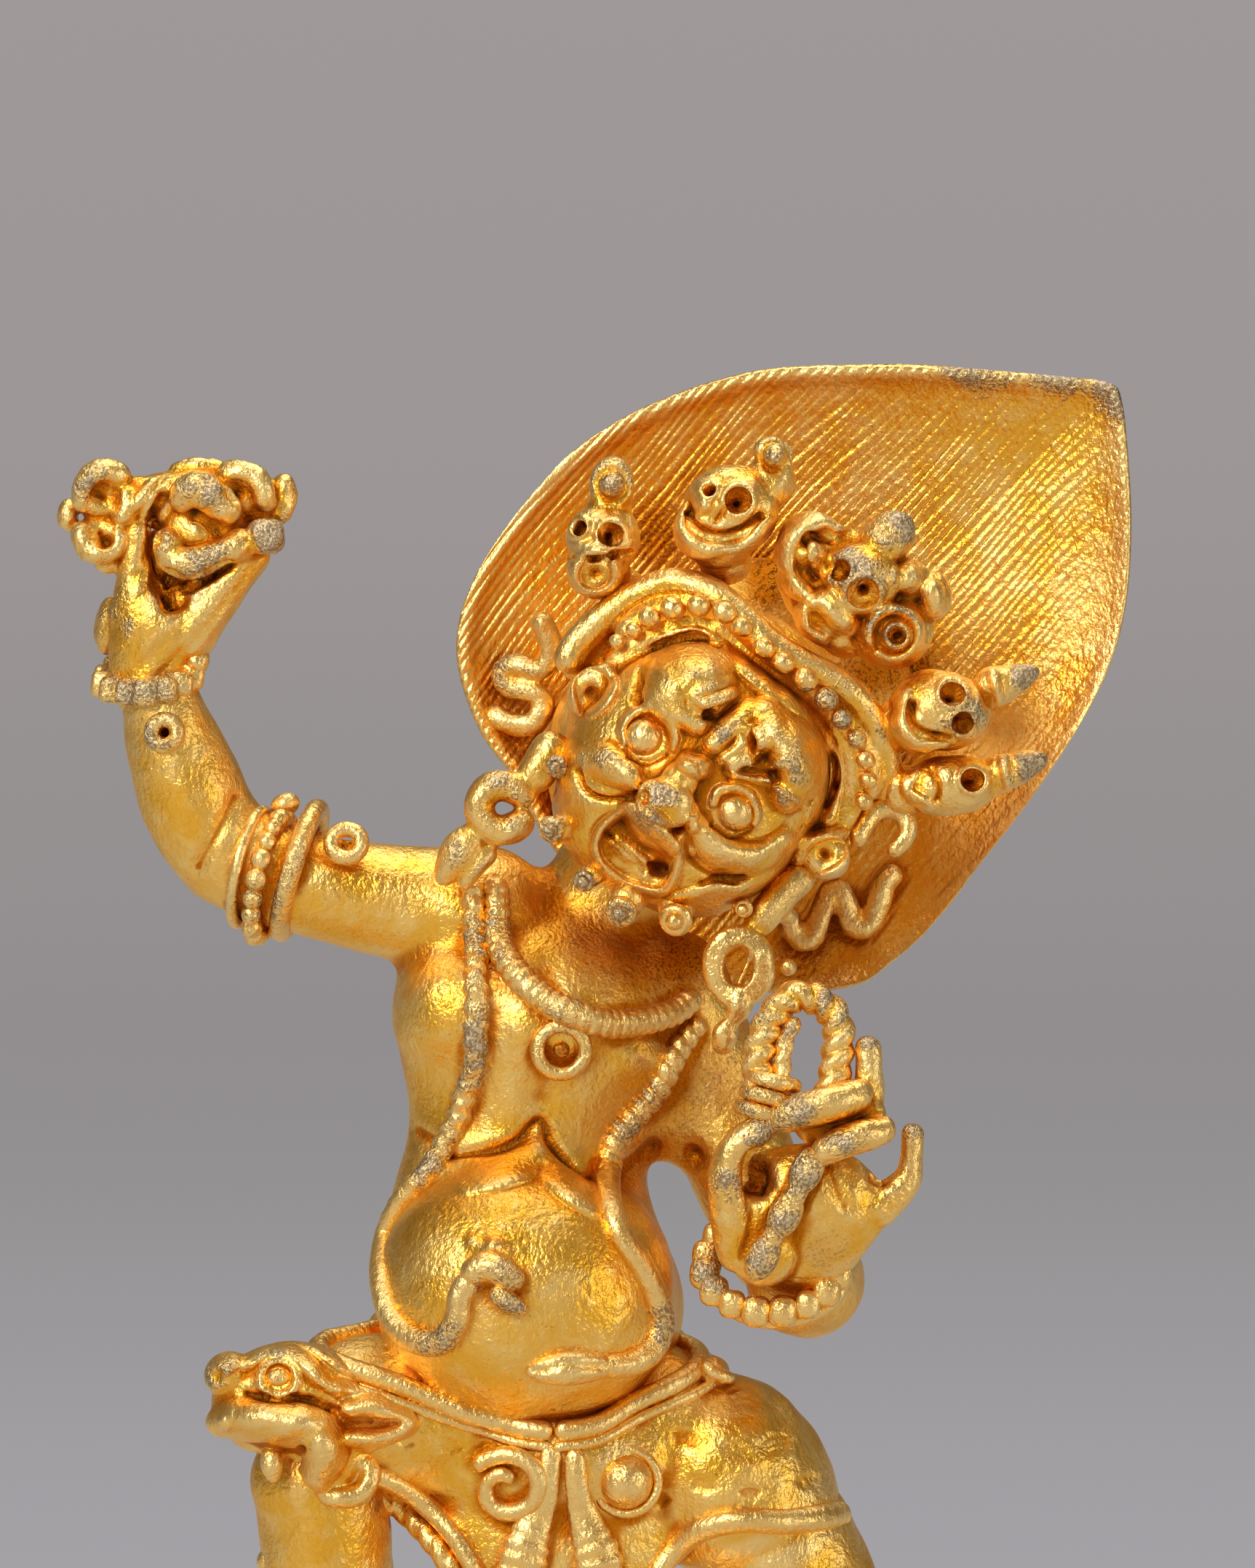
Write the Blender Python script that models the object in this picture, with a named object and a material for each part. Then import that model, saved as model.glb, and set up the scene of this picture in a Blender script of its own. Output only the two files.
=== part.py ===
"""Gilt cast statuette of the wrathful Vajrapani, striding on a low oval lotus pedestal.

The figure is one casting: body, hair crest, skull crown, jewels, serpents, skirt, thunderbolt and
noose. It is drawn in hundredths of its own height (1 mm on the real statuette), with x to the
viewer's right, y away from the viewer and z up from the soles. The pedestal is a second piece with
sizes of its own. Everything is in metres once it is in the scene, +Z up, origin under the pedestal.
"""

import math

import bpy
import numpy as np
from mathutils.bvhtree import BVHTree

# Driving sizes, in metres
FIGURE_HEIGHT = 0.100     # soles to the top of the hair crest
BASE_HEIGHT = 0.0120
BASE_MARGIN = 0.0050      # pedestal top beyond the toes, at each end
BASE_DEPTH = 0.0350
SEAT_GAP = 0.0003         # between the pedestal's top and the soles
PETAL_COUNT = 20
PETAL_RELIEF = 0.0016     # how far a petal's middle stands out from the pedestal's waist
PETAL_STEPS = 4           # columns of the pedestal's surface in each petal
PLINTH_HEIGHT = 0.0022    # plain foot moulding under the petals
RIM_HEIGHT = 0.0016       # plain rim above the petals

# The figure's own shares, in hundredths of its height
UNIT = FIGURE_HEIGHT / 100
FUSE_GRAIN = 0.42         # grain at which the separate forms are fused into one casting
FIGURE_TRIANGLES = 7600
HEAD_X, HEAD_Z = 3.77, 74.05      # between the eyes
HEAD_ROLL = math.radians(37.3)    # the head leans to the viewer's right
STANCE = 25.0                     # half the spread of the toes
CREST_RIM = 1.1                   # thickness of the hair crest at its edge

GOLD = (0.86, 0.52, 0.10, 1.0)
CAP_RINGS = 4
forms = []


def through(points, steps=12):
    """Catmull-Rom curve through the rows of points, whatever their columns mean."""
    rows = np.asarray(points, float)
    spans = len(rows) - 1
    ends = np.vstack([2 * rows[0] - rows[1], rows, 2 * rows[-1] - rows[-2]])
    t = np.linspace(0, spans, spans * steps + 1)
    i = np.minimum(t.astype(int), spans - 1)
    f = (t - i)[:, None]
    a, b, c, d = ends[i], ends[i + 1], ends[i + 2], ends[i + 3]
    return 0.5 * (2 * b + (c - a) * f + (2 * a - 5 * b + 4 * c - d) * f**2 + (3 * b - a - 3 * c + d) * f**3)


def closed_grid(points):
    """Adds a form from rings of points: every ring closes on itself, and each end closes on its own middle."""
    rings, sides = points.shape[:2]
    vertices = np.vstack([points.reshape(-1, 3), points[0].mean(0), points[-1].mean(0)])
    ring = np.arange(sides)
    following = (ring + 1) % sides
    faces = []
    for k in range(rings - 1):
        low, high = k * sides, (k + 1) * sides
        faces += np.stack([low + ring, low + following, high + following, high + ring], 1).tolist()
    first, last = rings * sides, rings * sides + 1
    faces += np.stack([np.full(sides, first), following, ring], 1).tolist()
    top = (rings - 1) * sides
    faces += np.stack([np.full(sides, last), top + ring, top + following], 1).tolist()
    forms.append((vertices, faces))


def limb(points, depth=1.0, facing=(0, 1, 0), sides=14, gap=0.5):
    """Round-ended tube through points of x, y, z and radius.

    Its section is an ellipse: the radius across, and depth times the radius along facing.
    """
    tube(through(points), depth, facing, sides, gap)


def tube(path, depth=1.0, facing=(0, 1, 0), sides=10, gap=0.5):
    """Limb along a curve that is already worked out."""
    centre, radius = path[:, :3], path[:, 3]
    run = np.concatenate([[0], np.cumsum(np.linalg.norm(np.diff(centre, axis=0), axis=1))])
    start, end = min(radius[0], run[-1] / 2), min(radius[-1], run[-1] / 2)
    turn = np.linspace(0, math.pi / 2, CAP_RINGS + 1)[1:]
    count = max(3, int((run[-1] - start - end) / gap))
    stations = np.concatenate([start * (1 - np.cos(turn)), np.linspace(start, run[-1] - end, count)[1:-1],
                               run[-1] - end * (1 - np.cos(turn[::-1]))])
    swell = np.concatenate([np.sin(turn), np.ones(count - 2), np.sin(turn[::-1])])
    at = np.stack([np.interp(stations, run, centre[:, k]) for k in range(3)], 1)
    size = np.interp(stations, run, radius) * swell
    tangent = np.gradient(at, stations, axis=0)
    tangent /= np.linalg.norm(tangent, axis=1, keepdims=True)
    across = np.cross(tangent, np.asarray(facing, float))
    across /= np.linalg.norm(across, axis=1, keepdims=True)
    outward = np.cross(across, tangent)
    angle = np.linspace(0, 2 * math.pi, sides, endpoint=False)
    ring = across[:, None] * np.cos(angle)[None, :, None] - depth * outward[:, None] * np.sin(angle)[None, :, None]
    closed_grid(at[:, None] + size[:, None, None] * ring)


def ball(centre, radii, roll=0.0, sides=16, rings=10):
    """Ellipsoid of three half-sizes, rolled clockwise in the front view by an angle in radians."""
    down = np.linspace(0, math.pi, rings + 2)[1:-1, None]
    turn = np.linspace(0, 2 * math.pi, sides, endpoint=False)[None]
    x = np.sin(down) * np.cos(turn) * radii[0]
    y = np.sin(down) * np.sin(turn) * radii[1]
    z = -np.cos(down) * np.ones_like(turn) * radii[2]
    across = x * math.cos(roll) + z * math.sin(roll)
    up = -x * math.sin(roll) + z * math.cos(roll)
    closed_grid(np.stack([across, y, up], 2) + np.asarray(centre, float))


def hoop(centre, reach, radius, normal=(0, -1, 0), start=0.0, sides=8, steps=20):
    """Ring of round wire about a centre: reach is its two half-sizes, start turns them in its own plane."""
    axis = np.asarray(normal, float) / np.linalg.norm(normal)
    first = np.cross(axis, (0, 1, 0) if abs(axis[1]) < 0.9 else (0, 0, 1))
    first /= np.linalg.norm(first)
    second = np.cross(axis, first)
    turn = np.linspace(0, 2 * math.pi, steps, endpoint=False)
    angle = np.linspace(0, 2 * math.pi, sides, endpoint=False)
    long_way = first * math.cos(start) + second * math.sin(start)
    short_way = second * math.cos(start) - first * math.sin(start)
    spoke = long_way * np.cos(turn)[:, None] * reach[0] + short_way * np.sin(turn)[:, None] * reach[1]
    out = spoke / np.linalg.norm(spoke, axis=1, keepdims=True)
    tube = out[:, None] * np.cos(angle)[None, :, None] + axis * np.sin(angle)[None, :, None]
    points = np.asarray(centre, float) + spoke[:, None] + radius * tube
    index = np.arange(steps * sides).reshape(steps, sides)
    corner = np.roll(index, -1, 0)
    faces = np.stack([index, np.roll(index, -1, 1), np.roll(corner, -1, 1), corner], 2).reshape(-1, 4)
    forms.append((points.reshape(-1, 3), faces[:, ::-1].tolist()))


def boss(centre, radius, wire, normal=(0, -1, 0)):
    """Jewel setting: a ring with a bead sunk in it."""
    hoop(centre, (radius, radius), wire, normal)
    ball(centre, (radius * 0.6,) * 3)


def surface():
    """All the forms so far, ready to be touched by a line."""
    vertices, faces, count = [], [], 0
    for points, polygons in forms:
        vertices += points.tolist()
        faces += [[count + i for i in polygon] for polygon in polygons]
        count += len(points)
    return BVHTree.FromPolygons(vertices, faces)


def draped(skin, points, sink=0.2, depth=1.0):
    """Cord laid on the front of the forms: points of x, z and radius, sunk by a share of its radius."""
    path = through(points, 6)
    front = np.array([skin.ray_cast((x, -60, z), (0, 1, 0), 120)[0] or (0, np.nan, 0) for x, z, _ in path])[:, 1]
    known = ~np.isnan(front)
    steps = np.arange(len(path))
    front = np.interp(steps, steps[known], front[known])
    front = np.convolve(np.pad(front, 2, "edge"), np.full(5, 0.2), "valid")
    tube(np.stack([path[:, 0], front - path[:, 2] * (1 - sink) * depth, path[:, 1], path[:, 2]], 1), depth)


def girdle(skin, middle, heights, radius, count=40):
    """Cord right round the forms, its height read round the body from the front: middle is x and y of its axis."""
    turn = np.linspace(0, 2 * math.pi, count + 1)
    level = np.interp(turn, np.linspace(0, 2 * math.pi, len(heights)), heights)
    path = []
    for angle, height in zip(turn, level):
        out = np.array([math.sin(angle), -math.cos(angle), 0.0])
        start = np.array([*middle, height]) + 60 * out
        hit = skin.ray_cast(start.tolist(), (-out).tolist(), 60)[0]
        path.append([*(np.array(hit) + 0.5 * radius * out), radius])
    tube(np.array(path), facing=(0, 0, 1))


def beads(points, count, radius):
    """Row of beads at equal steps along a curve."""
    path = through(points)
    run = np.concatenate([[0], np.cumsum(np.linalg.norm(np.diff(path, axis=0), axis=1))])
    for station in np.linspace(0, run[-1], count):
        ball([np.interp(station, run, path[:, k]) for k in range(3)], (radius,) * 3, sides=8, rings=5)


def on_head(across, up, depth):
    """Point of the leaning head, measured from between its eyes."""
    return (HEAD_X + across * math.cos(HEAD_ROLL) + up * math.sin(HEAD_ROLL), depth,
            HEAD_Z - across * math.sin(HEAD_ROLL) + up * math.cos(HEAD_ROLL))


def head_limb(points, **section):
    """Limb whose points are across, up, depth and radius on the head."""
    limb([(*on_head(*point[:3]), point[3]) for point in points], **section)


def head_ball(across, up, depth, radii):
    ball(on_head(across, up, depth), radii, HEAD_ROLL)


def trunk():
    """Barrel chest, pot belly, shoulders and neck."""
    limb([(-4.6, 1.0, 66, 6.5), (-5.0, 0.6, 61, 9.0), (-5.4, 0.4, 56, 8.8), (-6.0, 0.4, 51, 7.6),
          (-6.6, -0.4, 45, 8.5), (-5.6, -0.6, 39, 9.6), (-4.0, -0.2, 32, 9.6)], depth=0.68, sides=24, gap=1.0)
    ball((-6.7, -4.2, 42.4), (9.2, 8.0, 7.6), sides=24, rings=14)
    ball((-4.4, -0.8, 32.6), (11.6, 7.2, 6.8), sides=24)
    ball((0.8, -0.2, 33.4), (7.6, 6.6, 5.6), 0.35)
    ball((-9.6, 0.2, 34.4), (6.8, 6.6, 4.9), -0.1)
    ball((-9.5, 0.8, 65.2), (5.2, 4.6, 4.8))
    ball((2.4, 1.2, 60.2), (4.4, 4.4, 4.6))
    ball((-9.6, -3.6, 56.0), (4.6, 3.4, 4.8), 0.3)
    ball((-0.9, -3.4, 54.6), (4.6, 3.2, 4.6), -0.3)
    limb([(-4.0, 1.5, 60, 5.4), (-0.5, 0.5, 66, 5.0), (2.5, -0.5, 72, 5.0)])
    limb([(-10.4, -5.0, 49.0, 0.8), (-7.4, -6.6, 49.4, 0.9), (-5.5, -7.0, 50.9, 0.7), (-4.4, -6.8, 48.9, 0.8),
          (-2.6, -6.4, 47.6, 0.7)])


def raised_arm():
    """Right arm, bent at the elbow, with its armlets, bracelet and bosses."""
    limb([(-9.0, 0.8, 65.2, 4.4), (-14.5, 0.4, 66.2, 3.7), (-20.0, 0.0, 67.3, 3.3), (-24.4, 0.0, 68.9, 3.3),
          (-26.6, -0.3, 71.2, 3.3), (-27.8, -0.8, 74.2, 3.15), (-28.9, -1.4, 78.0, 2.7), (-29.6, -1.6, 81.4, 2.3)])
    along = (1.0, 0.0, 0.25)
    hoop((-20.3, 0.0, 67.6), (4.0, 3.9), 0.75, along, steps=24)
    hoop((-23.6, 0.0, 68.6), (3.6, 3.6), 0.55, (1.0, 0.0, 0.45), steps=20)
    for k in range(16):
        turn = 2 * math.pi * k / 16
        ball((-22.4 - 0.9 * math.cos(turn), 4.0 * math.sin(turn), 67.9 + 3.9 * math.cos(turn)), (0.85,) * 3,
             sides=8, rings=5)
        ball((-29.6 - 2.9 * math.cos(turn), -1.4 + 2.7 * math.sin(turn), 79.7 - 0.6 * math.cos(turn)), (0.85,) * 3,
             sides=8, rings=5)
    hoop((-29.7, -1.4, 80.7), (2.9, 2.7), 0.5, (0.2, 0.0, -1.0))
    boss((-17.5, -3.5, 69.6), 1.1, 0.45)
    boss((-28.8, -4.0, 76.8), 0.9, 0.4)
    ball((-20.6, -1.0, 72.4), (1.0, 1.4, 0.8))


def raised_hand():
    """Right hand closed round a thunderbolt with a flower of prongs at each end."""
    limb([(-30.1, -1.6, 80.3, 2.3), (-29.3, -1.8, 83.2, 2.5), (-27.6, -2.0, 86.2, 3.0), (-26.2, -1.6, 88.4, 2.8)],
         depth=0.75)
    limb([(-31.4, -1.8, 82.3, 1.1), (-31.2, -2.2, 86.5, 1.0), (-30.6, -1.8, 90.1, 1.0)])
    limb([(-28.6, -3.6, 89.2, 0.8), (-28.3, -4.0, 87.4, 0.9), (-26.6, -4.4, 87.7, 1.0), (-24.6, -4.2, 88.8, 1.0),
          (-22.4, -3.6, 89.0, 1.1)])
    limb([(-28.0, -3.6, 92.3, 1.0), (-26.2, -4.2, 91.8, 1.2), (-24.4, -4.2, 90.6, 1.1)])
    limb([(-21.4, -1.0, 93.0, 0.65), (-21.5, -1.4, 89.3, 0.7), (-23.0, -1.6, 87.2, 1.0)])
    limb([(-35.2, -1.8, 90.6, 0.8), (-30.0, -1.8, 90.9, 0.9), (-22.2, -1.8, 91.0, 0.8)])
    for end, first, last in ((-1, -31.6, -35.4), (1, -26.0, -21.8)):
        for k in range(4):
            turn = math.pi / 4 + k * math.pi / 2
            out, lift = 2.5 * math.sin(turn), 2.5 * math.cos(turn)
            limb([(first, -1.8, 90.8, 0.7), (first + end * 1.4, -1.8 + out, 90.8 + lift, 0.8),
                  (first + end * 2.8, -1.8 + out, 90.8 + lift, 0.8), (last, -1.8 + out / 3, 90.8 + lift / 3, 0.6)])
    ball((-32.5, 0.2, 83.2), (0.7, 1.2, 2.0))


def lowered_arm():
    """Left arm, its forearm coming forward, with bracelet and the hand that holds the noose."""
    limb([(2.4, 1.4, 61.0, 4.2), (5.2, 1.6, 55.0, 3.6), (7.4, 1.2, 49.6, 3.3), (9.6, 0.0, 45.0, 3.5),
          (11.4, -2.6, 42.6, 3.9)])
    limb([(11.6, -2.0, 42.8, 3.8), (10.9, -6.5, 43.4, 3.6), (9.8, -10.0, 44.2, 3.0)], facing=(0, 0, 1))
    for k in range(14):
        turn = 2 * math.pi * k / 14
        ball((9.3 + 4.0 * math.cos(turn), -10.6 - 2.0 * math.sin(turn), 43.8 + 3.1 * math.sin(turn)), (0.85,) * 3,
             sides=8, rings=5)
    limb([(9.2, -10.6, 43.0, 3.0), (10.6, -11.6, 48.2, 3.9), (11.8, -12.0, 54.6, 4.2)], depth=0.55)
    limb([(14.6, -12.0, 46.6, 1.3), (17.0, -12.2, 49.0, 1.1), (17.6, -12.2, 50.8, 0.8), (17.7, -12.2, 52.9, 0.7)])
    limb([(14.6, -12.2, 50.6, 0.9), (15.1, -12.4, 55.4, 0.8), (14.9, -12.4, 58.4, 0.75)])
    limb([(10.4, -14.2, 53.2, 1.1), (12.8, -14.8, 54.0, 1.1), (15.2, -13.6, 54.8, 1.0)])
    limb([(12.6, -14.6, 51.4, 1.0), (14.6, -14.6, 52.4, 1.0), (16.2, -13.4, 52.6, 0.9)])
    limb([(6.5, -12.4, 46.4, 1.2), (6.3, -13.2, 49.0, 1.2), (8.2, -14.0, 52.0, 1.0)])
    limb([(8.8, -13.2, 52.6, 0.85), (7.9, -13.2, 56.0, 0.85), (8.7, -12.8, 59.2, 0.85), (11.2, -12.6, 60.6, 0.85),
          (13.1, -12.8, 59.6, 0.85), (13.0, -13.2, 56.8, 0.85), (11.4, -13.4, 53.4, 0.85)])
    for across, up in ((10.8, 49.5), (9.7, 47.1), (8.3, 44.6)):
        ball((across, -14.2, up), (1.3, 1.1, 1.7), 0.35)


def legs():
    """Bent right leg and straight left leg, each with an anklet of beads and a broad foot."""
    limb([(-6.0, 0.2, 33.2, 7.2), (-12.5, -1.8, 34.0, 5.9), (-18.5, -3.8, 34.6, 4.6), (-21.6, -4.6, 34.4, 4.2)])
    limb([(-20.4, -4.2, 34.0, 4.2), (-18.9, -3.0, 27.5, 4.1), (-18.8, -1.2, 19.0, 4.2), (-19.4, 0.6, 9.5, 3.1),
          (-19.8, 1.0, 3.6, 2.8)])
    limb([(1.6, 0.2, 33.6, 8.0), (6.4, -0.6, 30.0, 6.7), (10.6, -1.0, 24.0, 4.8), (13.6, -0.4, 16.0, 4.3),
          (16.2, 1.0, 8.6, 3.1), (17.2, 1.4, 3.6, 2.8)])
    for side, heel, ankle in ((-1, -18.9, -19.7), (1, 16.3, 17.1)):
        limb([(heel, 3.2, 1.9, 1.9), (heel + side * 1.6, -1.6, 2.0, 2.3), (heel + side * 3.6, -6.6, 1.5, 2.3),
              (heel + side * 4.6, -8.8, 1.2, 1.7)], depth=0.62, facing=(0, 0, 1))
        for k in range(5):
            spread = -1.9 + 0.95 * k
            ball((heel + side * 4.8 + spread, -10.0 - 0.6 * side * spread * 0.4, 0.95), (0.7, 1.3, 0.85), sides=8,
                 rings=5)
        for k in range(12):
            turn = 2 * math.pi * k / 12
            ball((ankle + 3.1 * math.cos(turn), 1.0 + 3.1 * math.sin(turn), 6.0), (0.85,) * 3, sides=8, rings=5)


def skirt():
    """Tiger-skin kilt: belt, hems, knotted sash and the tiger's head over the bent knee."""
    limb([(-4.6, -3.0, 35.0, 10.4), (-4.6, -3.4, 28.5, 9.2), (-4.6, -4.4, 23.0, 5.4), (-4.6, -5.0, 15.5, 2.0)],
         depth=0.42, sides=24)
    skin = surface()
    girdle(skin, (-4.6, 0.0), (33.0, 33.6, 36.4, 39.4, 39.8, 39.8, 40.4, 36.8, 33.6, 33.0), 1.0)
    ball((7.2, -3.2, 37.9), (1.3, 1.8, 1.2))
    draped(skin, [(1.6, 24.2, 0.8), (4.4, 27.0, 0.8), (8.6, 28.0, 0.8), (12.8, 28.0, 0.8)])
    draped(skin, [(-17.0, 30.0, 0.9), (-13.9, 28.4, 0.9), (-11.6, 25.8, 0.9), (-9.0, 22.0, 0.8), (-5.4, 17.0, 0.7)])
    draped(skin, [(1.6, 24.2, 0.8), (-0.6, 21.0, 0.8), (-4.4, 16.8, 0.7)])
    draped(skin, [(-5.0, 32.0, 0.7), (-5.9, 28.0, 1.0), (-7.4, 24.6, 1.5), (-7.6, 20.8, 0.9)], depth=0.6)
    draped(skin, [(-3.4, 32.0, 0.7), (-2.6, 28.0, 1.0), (-1.4, 24.6, 1.5), (-1.6, 20.8, 0.9)], depth=0.6)
    hoop((-7.5, -8.0, 30.3), (1.3, 1.3), 0.6)
    boss((-0.3, -8.0, 30.3), 1.4, 0.6)
    tiger_head()


def tiger_head():
    """Tiger's face on the knee: muzzle, brow, eye, ear, fang and curled jowls."""
    ball((-21.4, -6.6, 35.4), (4.6, 3.4, 3.3), -0.2)
    ball((-24.6, -7.8, 36.2), (1.8, 1.8, 1.6))
    ball((-24.9, -7.6, 33.9), (1.4, 1.6, 1.0))
    ball((-21.6, -9.6, 36.7), (1.0, 0.9, 0.9))
    limb([(-23.6, -9.4, 37.6, 0.6), (-21.6, -9.8, 38.3, 0.7), (-19.0, -9.0, 37.4, 0.6)])
    limb([(-24.0, -9.2, 35.2, 0.7), (-20.6, -9.8, 34.0, 0.8), (-18.6, -9.4, 32.4, 0.9), (-19.4, -9.2, 31.2, 0.8)])
    ball((-17.2, -8.6, 31.2), (1.5, 1.2, 1.4))
    ball((-22.2, -8.6, 31.6), (0.8, 0.8, 1.5), -0.2)
    ball((-15.4, -8.0, 34.3), (2.8, 1.0, 1.2), 0.15)


def serpents():
    """Snake garland down each side of the chest, its two heads over the belly, and the ribbed torque."""
    skin = surface()
    draped(skin, [(-9.7, 67.4, 0.75), (-9.4, 62.7, 0.75), (-9.4, 57.5, 0.75), (-10.1, 54.0, 0.75),
                  (-12.4, 49.6, 0.75), (-14.1, 47.4, 0.75), (-15.0, 44.0, 0.75), (-14.6, 40.8, 0.75),
                  (-13.2, 39.2, 0.8), (-11.4, 39.2, 0.8), (-10.5, 41.0, 0.8), (-9.5, 43.2, 0.9),
                  (-7.8, 42.8, 1.0), (-6.2, 41.2, 0.8)])
    draped(skin, [(4.7, 59.2, 0.75), (3.1, 56.9, 0.75), (1.3, 54.0, 0.75), (-0.7, 51.3, 0.75), (-1.2, 48.0, 0.75),
                  (0.6, 44.2, 0.75), (1.6, 40.6, 0.75), (1.0, 38.4, 0.75), (-1.2, 37.6, 0.7), (-3.6, 37.6, 1.1),
                  (-6.2, 37.4, 0.5)])
    draped(skin, [(-8.2, 67.8, 0.75), (-8.1, 64.6, 0.8), (-7.0, 61.9, 0.8), (-4.8, 59.9, 0.8), (-1.2, 58.8, 0.8),
                  (2.0, 59.2, 0.75), (4.4, 60.6, 0.7)])
    boss((-4.1, -6.9, 57.1), 1.5, 0.5)


def head():
    """Skull, face with its bulging features, ears, beard pellets and ear ornaments."""
    head_ball(0.3, 2.3, -0.6, (9.4, 7.6, 9.2))
    head_ball(0.0, -0.4, -4.2, (7.0, 6.4, 7.8))
    head_ball(0.0, -5.2, -5.6, (4.9, 4.2, 3.3))
    head_ball(-2.7, 3.7, -9.4, (2.7, 1.7, 2.3))
    head_ball(4.1, 4.1, -8.9, (2.9, 1.7, 2.2))
    head_limb([(0.3, 6.0, -9.0, 0.6), (0.3, 3.6, -10.2, 0.7), (-0.1, 1.2, -10.7, 0.9), (0.0, -2.0, -12.0, 1.15)])
    for side in (-1, 1):
        head_ball(3.47 * side, 0.1, -10.0, (1.2, 1.2, 1.2))
        head_ball(1.5 * side, -2.3, -11.0, (0.9, 1.0, 0.7))
        head_ball(4.7 * side, -2.4, -8.8, (2.0, 1.8, 1.7))
        head_limb([(6.0 * side, -3.4, -8.2, 0.5), (4.4 * side, -4.0, -9.2, 0.6), (2.6 * side, -3.0, -10.4, 0.6)])
        head_limb([(5.2 * side, 1.2, -9.2, 0.5), (3.5 * side, 1.6, -10.2, 0.6), (1.8 * side, 0.8, -10.4, 0.5)])
        head_limb([(5.0 * side, -1.0, -9.4, 0.45), (3.5 * side, -1.5, -10.0, 0.5), (1.9 * side, -0.8, -10.2, 0.45)])
    head_limb([(-3.2, -4.2, -9.8, 0.6), (-1.2, -3.5, -11.0, 0.75), (1.4, -3.6, -11.0, 0.75), (3.4, -4.6, -9.8, 0.6)])
    head_limb([(-2.6, -4.9, -9.8, 0.6), (-2.6, -6.3, -9.4, 0.65), (0.4, -7.0, -9.6, 0.7), (3.2, -6.4, -9.2, 0.65),
               (3.0, -5.1, -9.6, 0.6)])
    head_ball(0.1, -5.6, -9.4, (2.0, 1.2, 0.8))
    for x, y, z, radius in ((-4.0, -5.6, 74.7, 0.9), (-4.3, -6.6, 70.8, 1.1), (-2.4, -7.4, 67.6, 1.0),
                            (-0.2, -7.6, 65.8, 1.2), (3.4, -7.0, 65.4, 1.2), (6.4, -5.6, 66.2, 1.0)):
        ball((x, y, z), (radius, radius * 1.8, radius * 1.1))
    hoop((-2.6, -4.2, 80.0), (1.6, 2.7), 0.8, start=HEAD_ROLL)
    hoop((12.0, -4.2, 69.4), (2.4, 1.6), 0.8, start=0.4)
    pendants()


def pendants():
    """Ear ornaments: a coil with a bud on one side, a loop with pellets on the other."""
    hoop((-7.8, -5.4, 72.2), (1.5, 1.5), 0.8)
    limb([(-6.6, -5.0, 73.0, 1.1), (-5.0, -4.6, 75.4, 1.3), (-3.0, -4.2, 77.8, 1.1)])
    limb([(-8.8, -4.6, 70.8, 0.9), (-10.4, -4.6, 69.1, 1.4), (-11.4, -4.0, 67.6, 0.9)])
    hoop((6.9, -5.6, 62.3), (1.7, 2.0), 0.6)
    limb([(11.2, -3.8, 68.8, 1.0), (9.0, -4.6, 66.6, 1.0), (7.6, -5.4, 63.8, 0.9)])
    limb([(6.9, -5.6, 60.2, 0.8), (6.3, -5.2, 58.0, 0.8), (6.4, -4.0, 56.4, 0.7)])


def crown():
    """Diadem of a rolled band over a row of beads, with five skulls, and ribbons behind the ears."""
    def band(reach, top, depth, radius):
        arc = np.linspace(-1.25, 1.25, 11)
        return [(0.4 + reach * math.sin(a), top * math.cos(a) - 0.6, depth + 4.6 * (1 - math.cos(a)), radius)
                for a in arc]
    head_limb(band(11.0, 12.2, -5.8, 1.0))
    head_limb(band(7.7, 7.6, -9.2, 0.7))
    row = band(9.4, 10.0, -7.8, 0.0)
    beads([on_head(*point[:3]) for point in row], 22, 0.72)
    head_limb(band(9.6, 10.2, -6.6, 1.1))
    skull((-1.7, 88.6), (1.9, 2.1), (-2.1, 86.1), (-1.1, 92.4), -3.6)
    skull((6.4, 91.2), (2.2, 2.3), (5.0, 88.6), (9.2, 94.2), -5.2)
    skull((14.2, 86.4), (2.0, 2.1), (12.6, 84.2), (17.4, 89.6), -6.8)
    skull((19.2, 78.2), (2.2, 2.1), (17.4, 77.0), (24.6, 80.6), -5.2)
    skull((20.2, 73.6), (2.1, 1.7), (18.0, 73.2), (25.0, 74.6), -3.6)
    for x, z, radius in ((11.6, 87.2, 1.9), (16.2, 83.6, 1.6), (18.4, 85.0, 1.2), (12.4, 89.4, 1.0)):
        hoop((x, -5.8, z), (radius * 0.8, radius * 0.8), radius * 0.45)
    ball((13.6, -5.2, 84.8), (3.2, 1.6, 2.2), 0.6)
    limb([(-4.4, 4.6, 84.8, 0.9), (-4.8, 5.4, 82.2, 0.9), (-6.4, 5.8, 80.9, 0.9), (-7.9, 6.2, 80.4, 0.9),
          (-6.2, 5.8, 79.3, 0.9), (-5.9, 5.8, 77.6, 0.9), (-8.9, 6.2, 78.3, 0.9)])
    limb([(9.9, 5.4, 66.4, 0.9), (11.0, 5.8, 63.8, 0.9), (12.6, 6.0, 66.8, 0.9), (14.0, 6.2, 64.8, 0.9),
          (15.6, 6.4, 65.6, 0.9), (17.3, 6.6, 68.1, 0.9)])


def skull(centre, radii, jaw, tip, depth):
    """Crown skull: cranium, jaw and a pointed jewel at its head."""
    x, z = centre
    ball((x, depth, z), (radii[0], 1.8, radii[1]))
    limb([(x, depth, z, 1.4), (jaw[0], depth - 0.1, jaw[1], 1.2), ((jaw[0] * 3 + HEAD_X) / 4, depth + 1.6,
          (jaw[1] * 3 + HEAD_Z) / 4, 1.4)])
    limb([(x, depth, z, 1.2), ((x + tip[0] * 2) / 3, depth + 0.2, (z + tip[1] * 2) / 3, 1.3),
          (tip[0], depth + 0.3, tip[1], 0.7)])


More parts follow.
